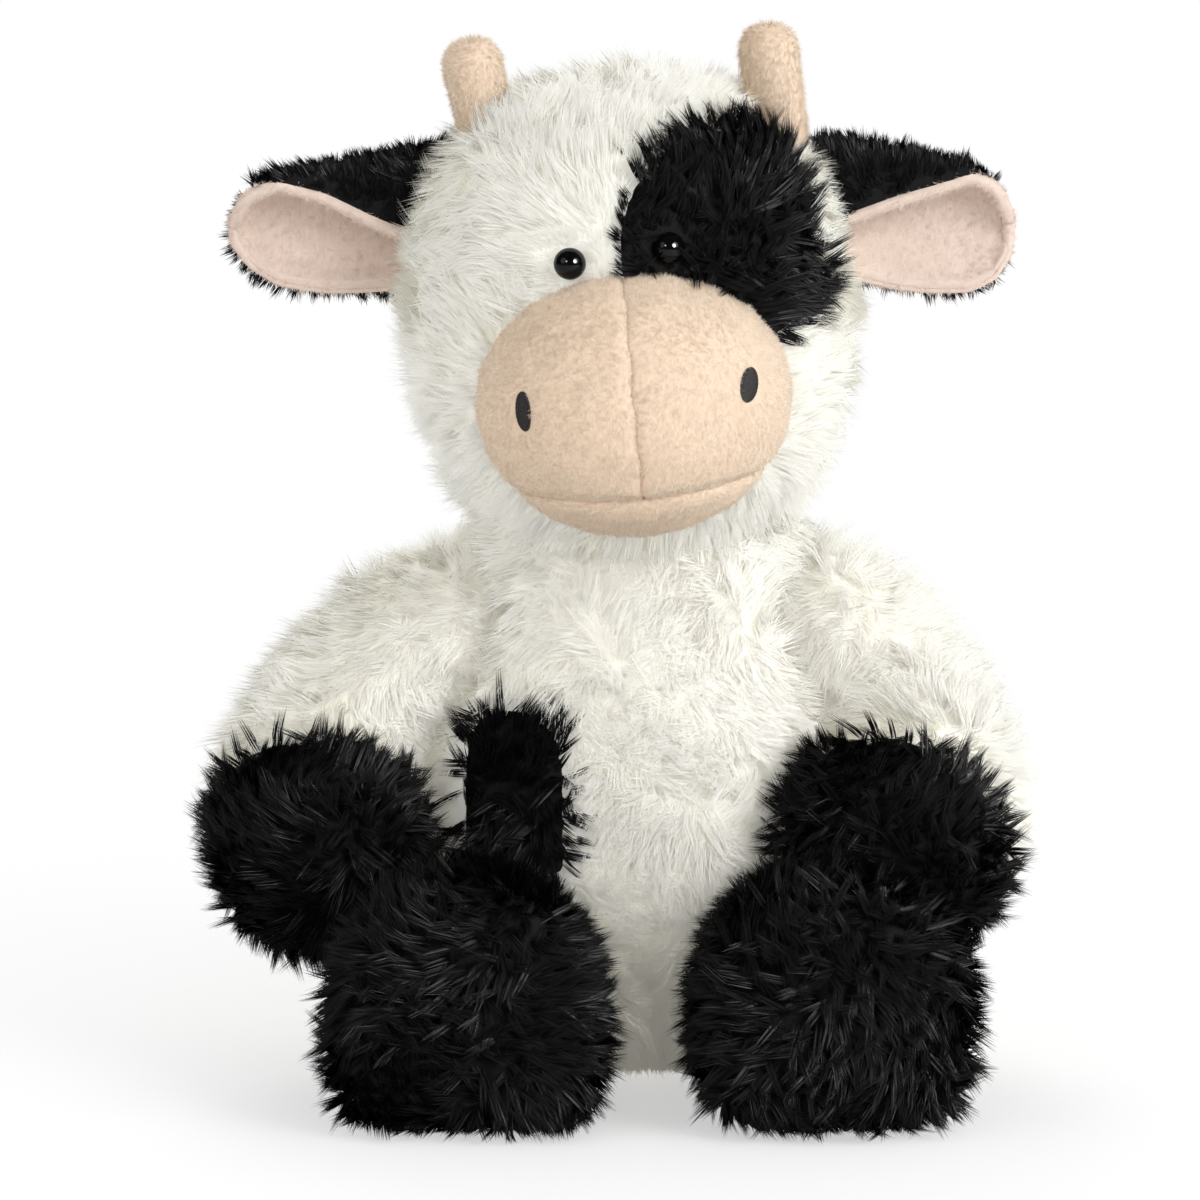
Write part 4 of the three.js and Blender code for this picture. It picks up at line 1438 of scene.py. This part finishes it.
for node in frame["nodes"]:
    if node.endswith("stuffing") or node == "seat_pellet_pouch":
        cloth = POUCH if "pouch" in node else FILL
        low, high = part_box(node)
        voxel = SMALL_FILLING_VOXEL if high.z - low.z < SMALL_FILLING_HEIGHT else FILLING_VOXEL
        form = piece(node.replace("stuffing", "filling") + "_form", copy_of(node), cloth.material)
        fillings[node] = soften(form, voxel, FILLING_EASE)
for side in SIDES:
    washer = frame["nodes"][f"eye_washer_{side}"]
    washer.data.materials.clear()
    washer.data.materials.append(NYLON.material)
print("fillings", {n: len(o.data.polygons) for n, o in fillings.items()})

# %% [markdown]
# Every piece rides on the body of the part it belongs to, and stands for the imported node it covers.
# The ears are thin and hardly filled, and everything else that is soft is stuffed full.

# %% Ride on the bodies
bpy.data.objects.remove(muzzle_whole)
body_of = {
    node: body for body, nodes in frame["record"]["behaviour"]["bodies"].items() for node in nodes
}
skins = {**shaggy, **short}
for name, made in {**skins, **eyes, **nostrils, **fillings}.items():
    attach(made, name if name in ("torso", "head") else body_of[name])
for name, made in piles.items():
    owner = name.split("_pile")[0].removesuffix("_margin")
    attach(made, owner if owner in ("torso", "head") else body_of[owner])
for name, made in {**skins, **fillings}.items():
    0.2 if "ear" in name else 0.8
for name, made in {**skins, **eyes, **nostrils, **fillings}.items():
    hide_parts(f"{name}_cover" if name in ("torso", "head") else name)

# %% [markdown]
# The lamps are large and soft, with the brighter one on the side that the photograph is lit from. Two
# small ones show only in reflections. They are the highlights on the eyes.


# %% Lamps
def lamp(name, place, size, power, aim=(0, 0, 0.14)):
    """A round soft lamp that looks at the toy."""
    light = bpy.data.lights.new(name, "AREA")
    light.shape = "DISK"
    light.size = size
    light.energy = power
    made = bpy.data.objects.new(name, light)
    made.location = place
    made.rotation_mode = "QUATERNION"
    made.rotation_quaternion = (Vector(aim) - Vector(place)).to_track_quat("-Z", "Y")
    bpy.context.scene.collection.objects.link(made)
    return made


LAMPS = {
    # place and size in metres, power in watts
    "key": ((1.3, -1.15, 1.0), 1.2, 19.5),
    "fill": ((-1.3, -1.1, 1.0), 1.2, 5.5),
    "rim": ((-0.3, 1.3, 1.4), 0.9, 10),
}
GLINTS = {
    "glint": ((0.95, -1.25, 0.85), 0.7, 105),
    "spark": ((-0.7, -1.5, 0.9), 0.3, 8),
}
for name, (place, size, power) in LAMPS.items():
    lamp(name, place, size, power)
for name, (place, size, power) in GLINTS.items():
    lamp(name, place, size, power).visible_diffuse = False
bpy.context.scene.cycles.diffuse_bounces = 8
print("lamps", len(LAMPS) + len(GLINTS))

# %% [markdown]
# The world is white to the camera, dimmer as a light, and nearly dark in reflections, so that black
# pile stays black. The floor is plain paper, and turns white for the camera away from the toy.

# %% Studio
SKY_LIGHT = 0.65
SKY_IN_REFLECTIONS = 0.06
FADE_FROM = 0.1
FADE_TO = 0.34
FADE_START_SHARE = 0.5
FLOOR_RADIUS = 8
world = bpy.data.worlds.new("studio")
world.use_nodes = True
bpy.context.scene.world = world
sky = Nodes(world.node_tree)
ambient = world.node_tree.nodes["Background"]
ambient.inputs["Color"].default_value = (1, 1, 1, 1)
seen = sky.node("ShaderNodeLightPath", output="Is Camera Ray")
light = sky.node("ShaderNodeMapRange", None, {"Value": seen, "To Min": SKY_LIGHT, "To Max": 1.0})
mirrored = sky.node("ShaderNodeLightPath", output="Is Glossy Ray")
ends = {"Value": mirrored, "To Min": light, "To Max": SKY_IN_REFLECTIONS}
sky.link(sky.node("ShaderNodeMapRange", None, ends), ambient.inputs["Strength"])

bm = bmesh.new()
bmesh.ops.create_circle(bm, cap_ends=True, segments=96, radius=FLOOR_RADIUS)
floor = piece("floor", bm)
paper = Cloth("paper", Base_Color=(0.95, 0.95, 0.95, 1), Roughness=0.9)
gap = paper.node("ShaderNodeVectorMath", {"operation": "LENGTH"}, {0: paper.place()}, output="Value")
fade = {"Value": gap, "From Min": FADE_FROM, "From Max": FADE_TO, "To Min": FADE_START_SHARE}
far = paper.node("ShaderNodeMapRange", None, fade)
camera_ray = paper.node("ShaderNodeLightPath", output="Is Camera Ray")
white = paper.node("ShaderNodeEmission", None, {"Color": (1, 1, 1, 1), "Strength": 1.0})
own = Socket(paper, paper.shader.outputs["BSDF"])
both = paper.node("ShaderNodeMixShader", None, {0: far * camera_ray, 1: own, 2: white})
paper.link(both, paper.tree.nodes["Material Output"].inputs["Surface"])
floor.data.materials.append(paper.material)
print("floor reaches", FLOOR_RADIUS, "m")

# %% [markdown]
# Last, the size of the finished toy is written down beside the size of the imported one.

# %% Update the scene
bpy.context.view_layer.update()
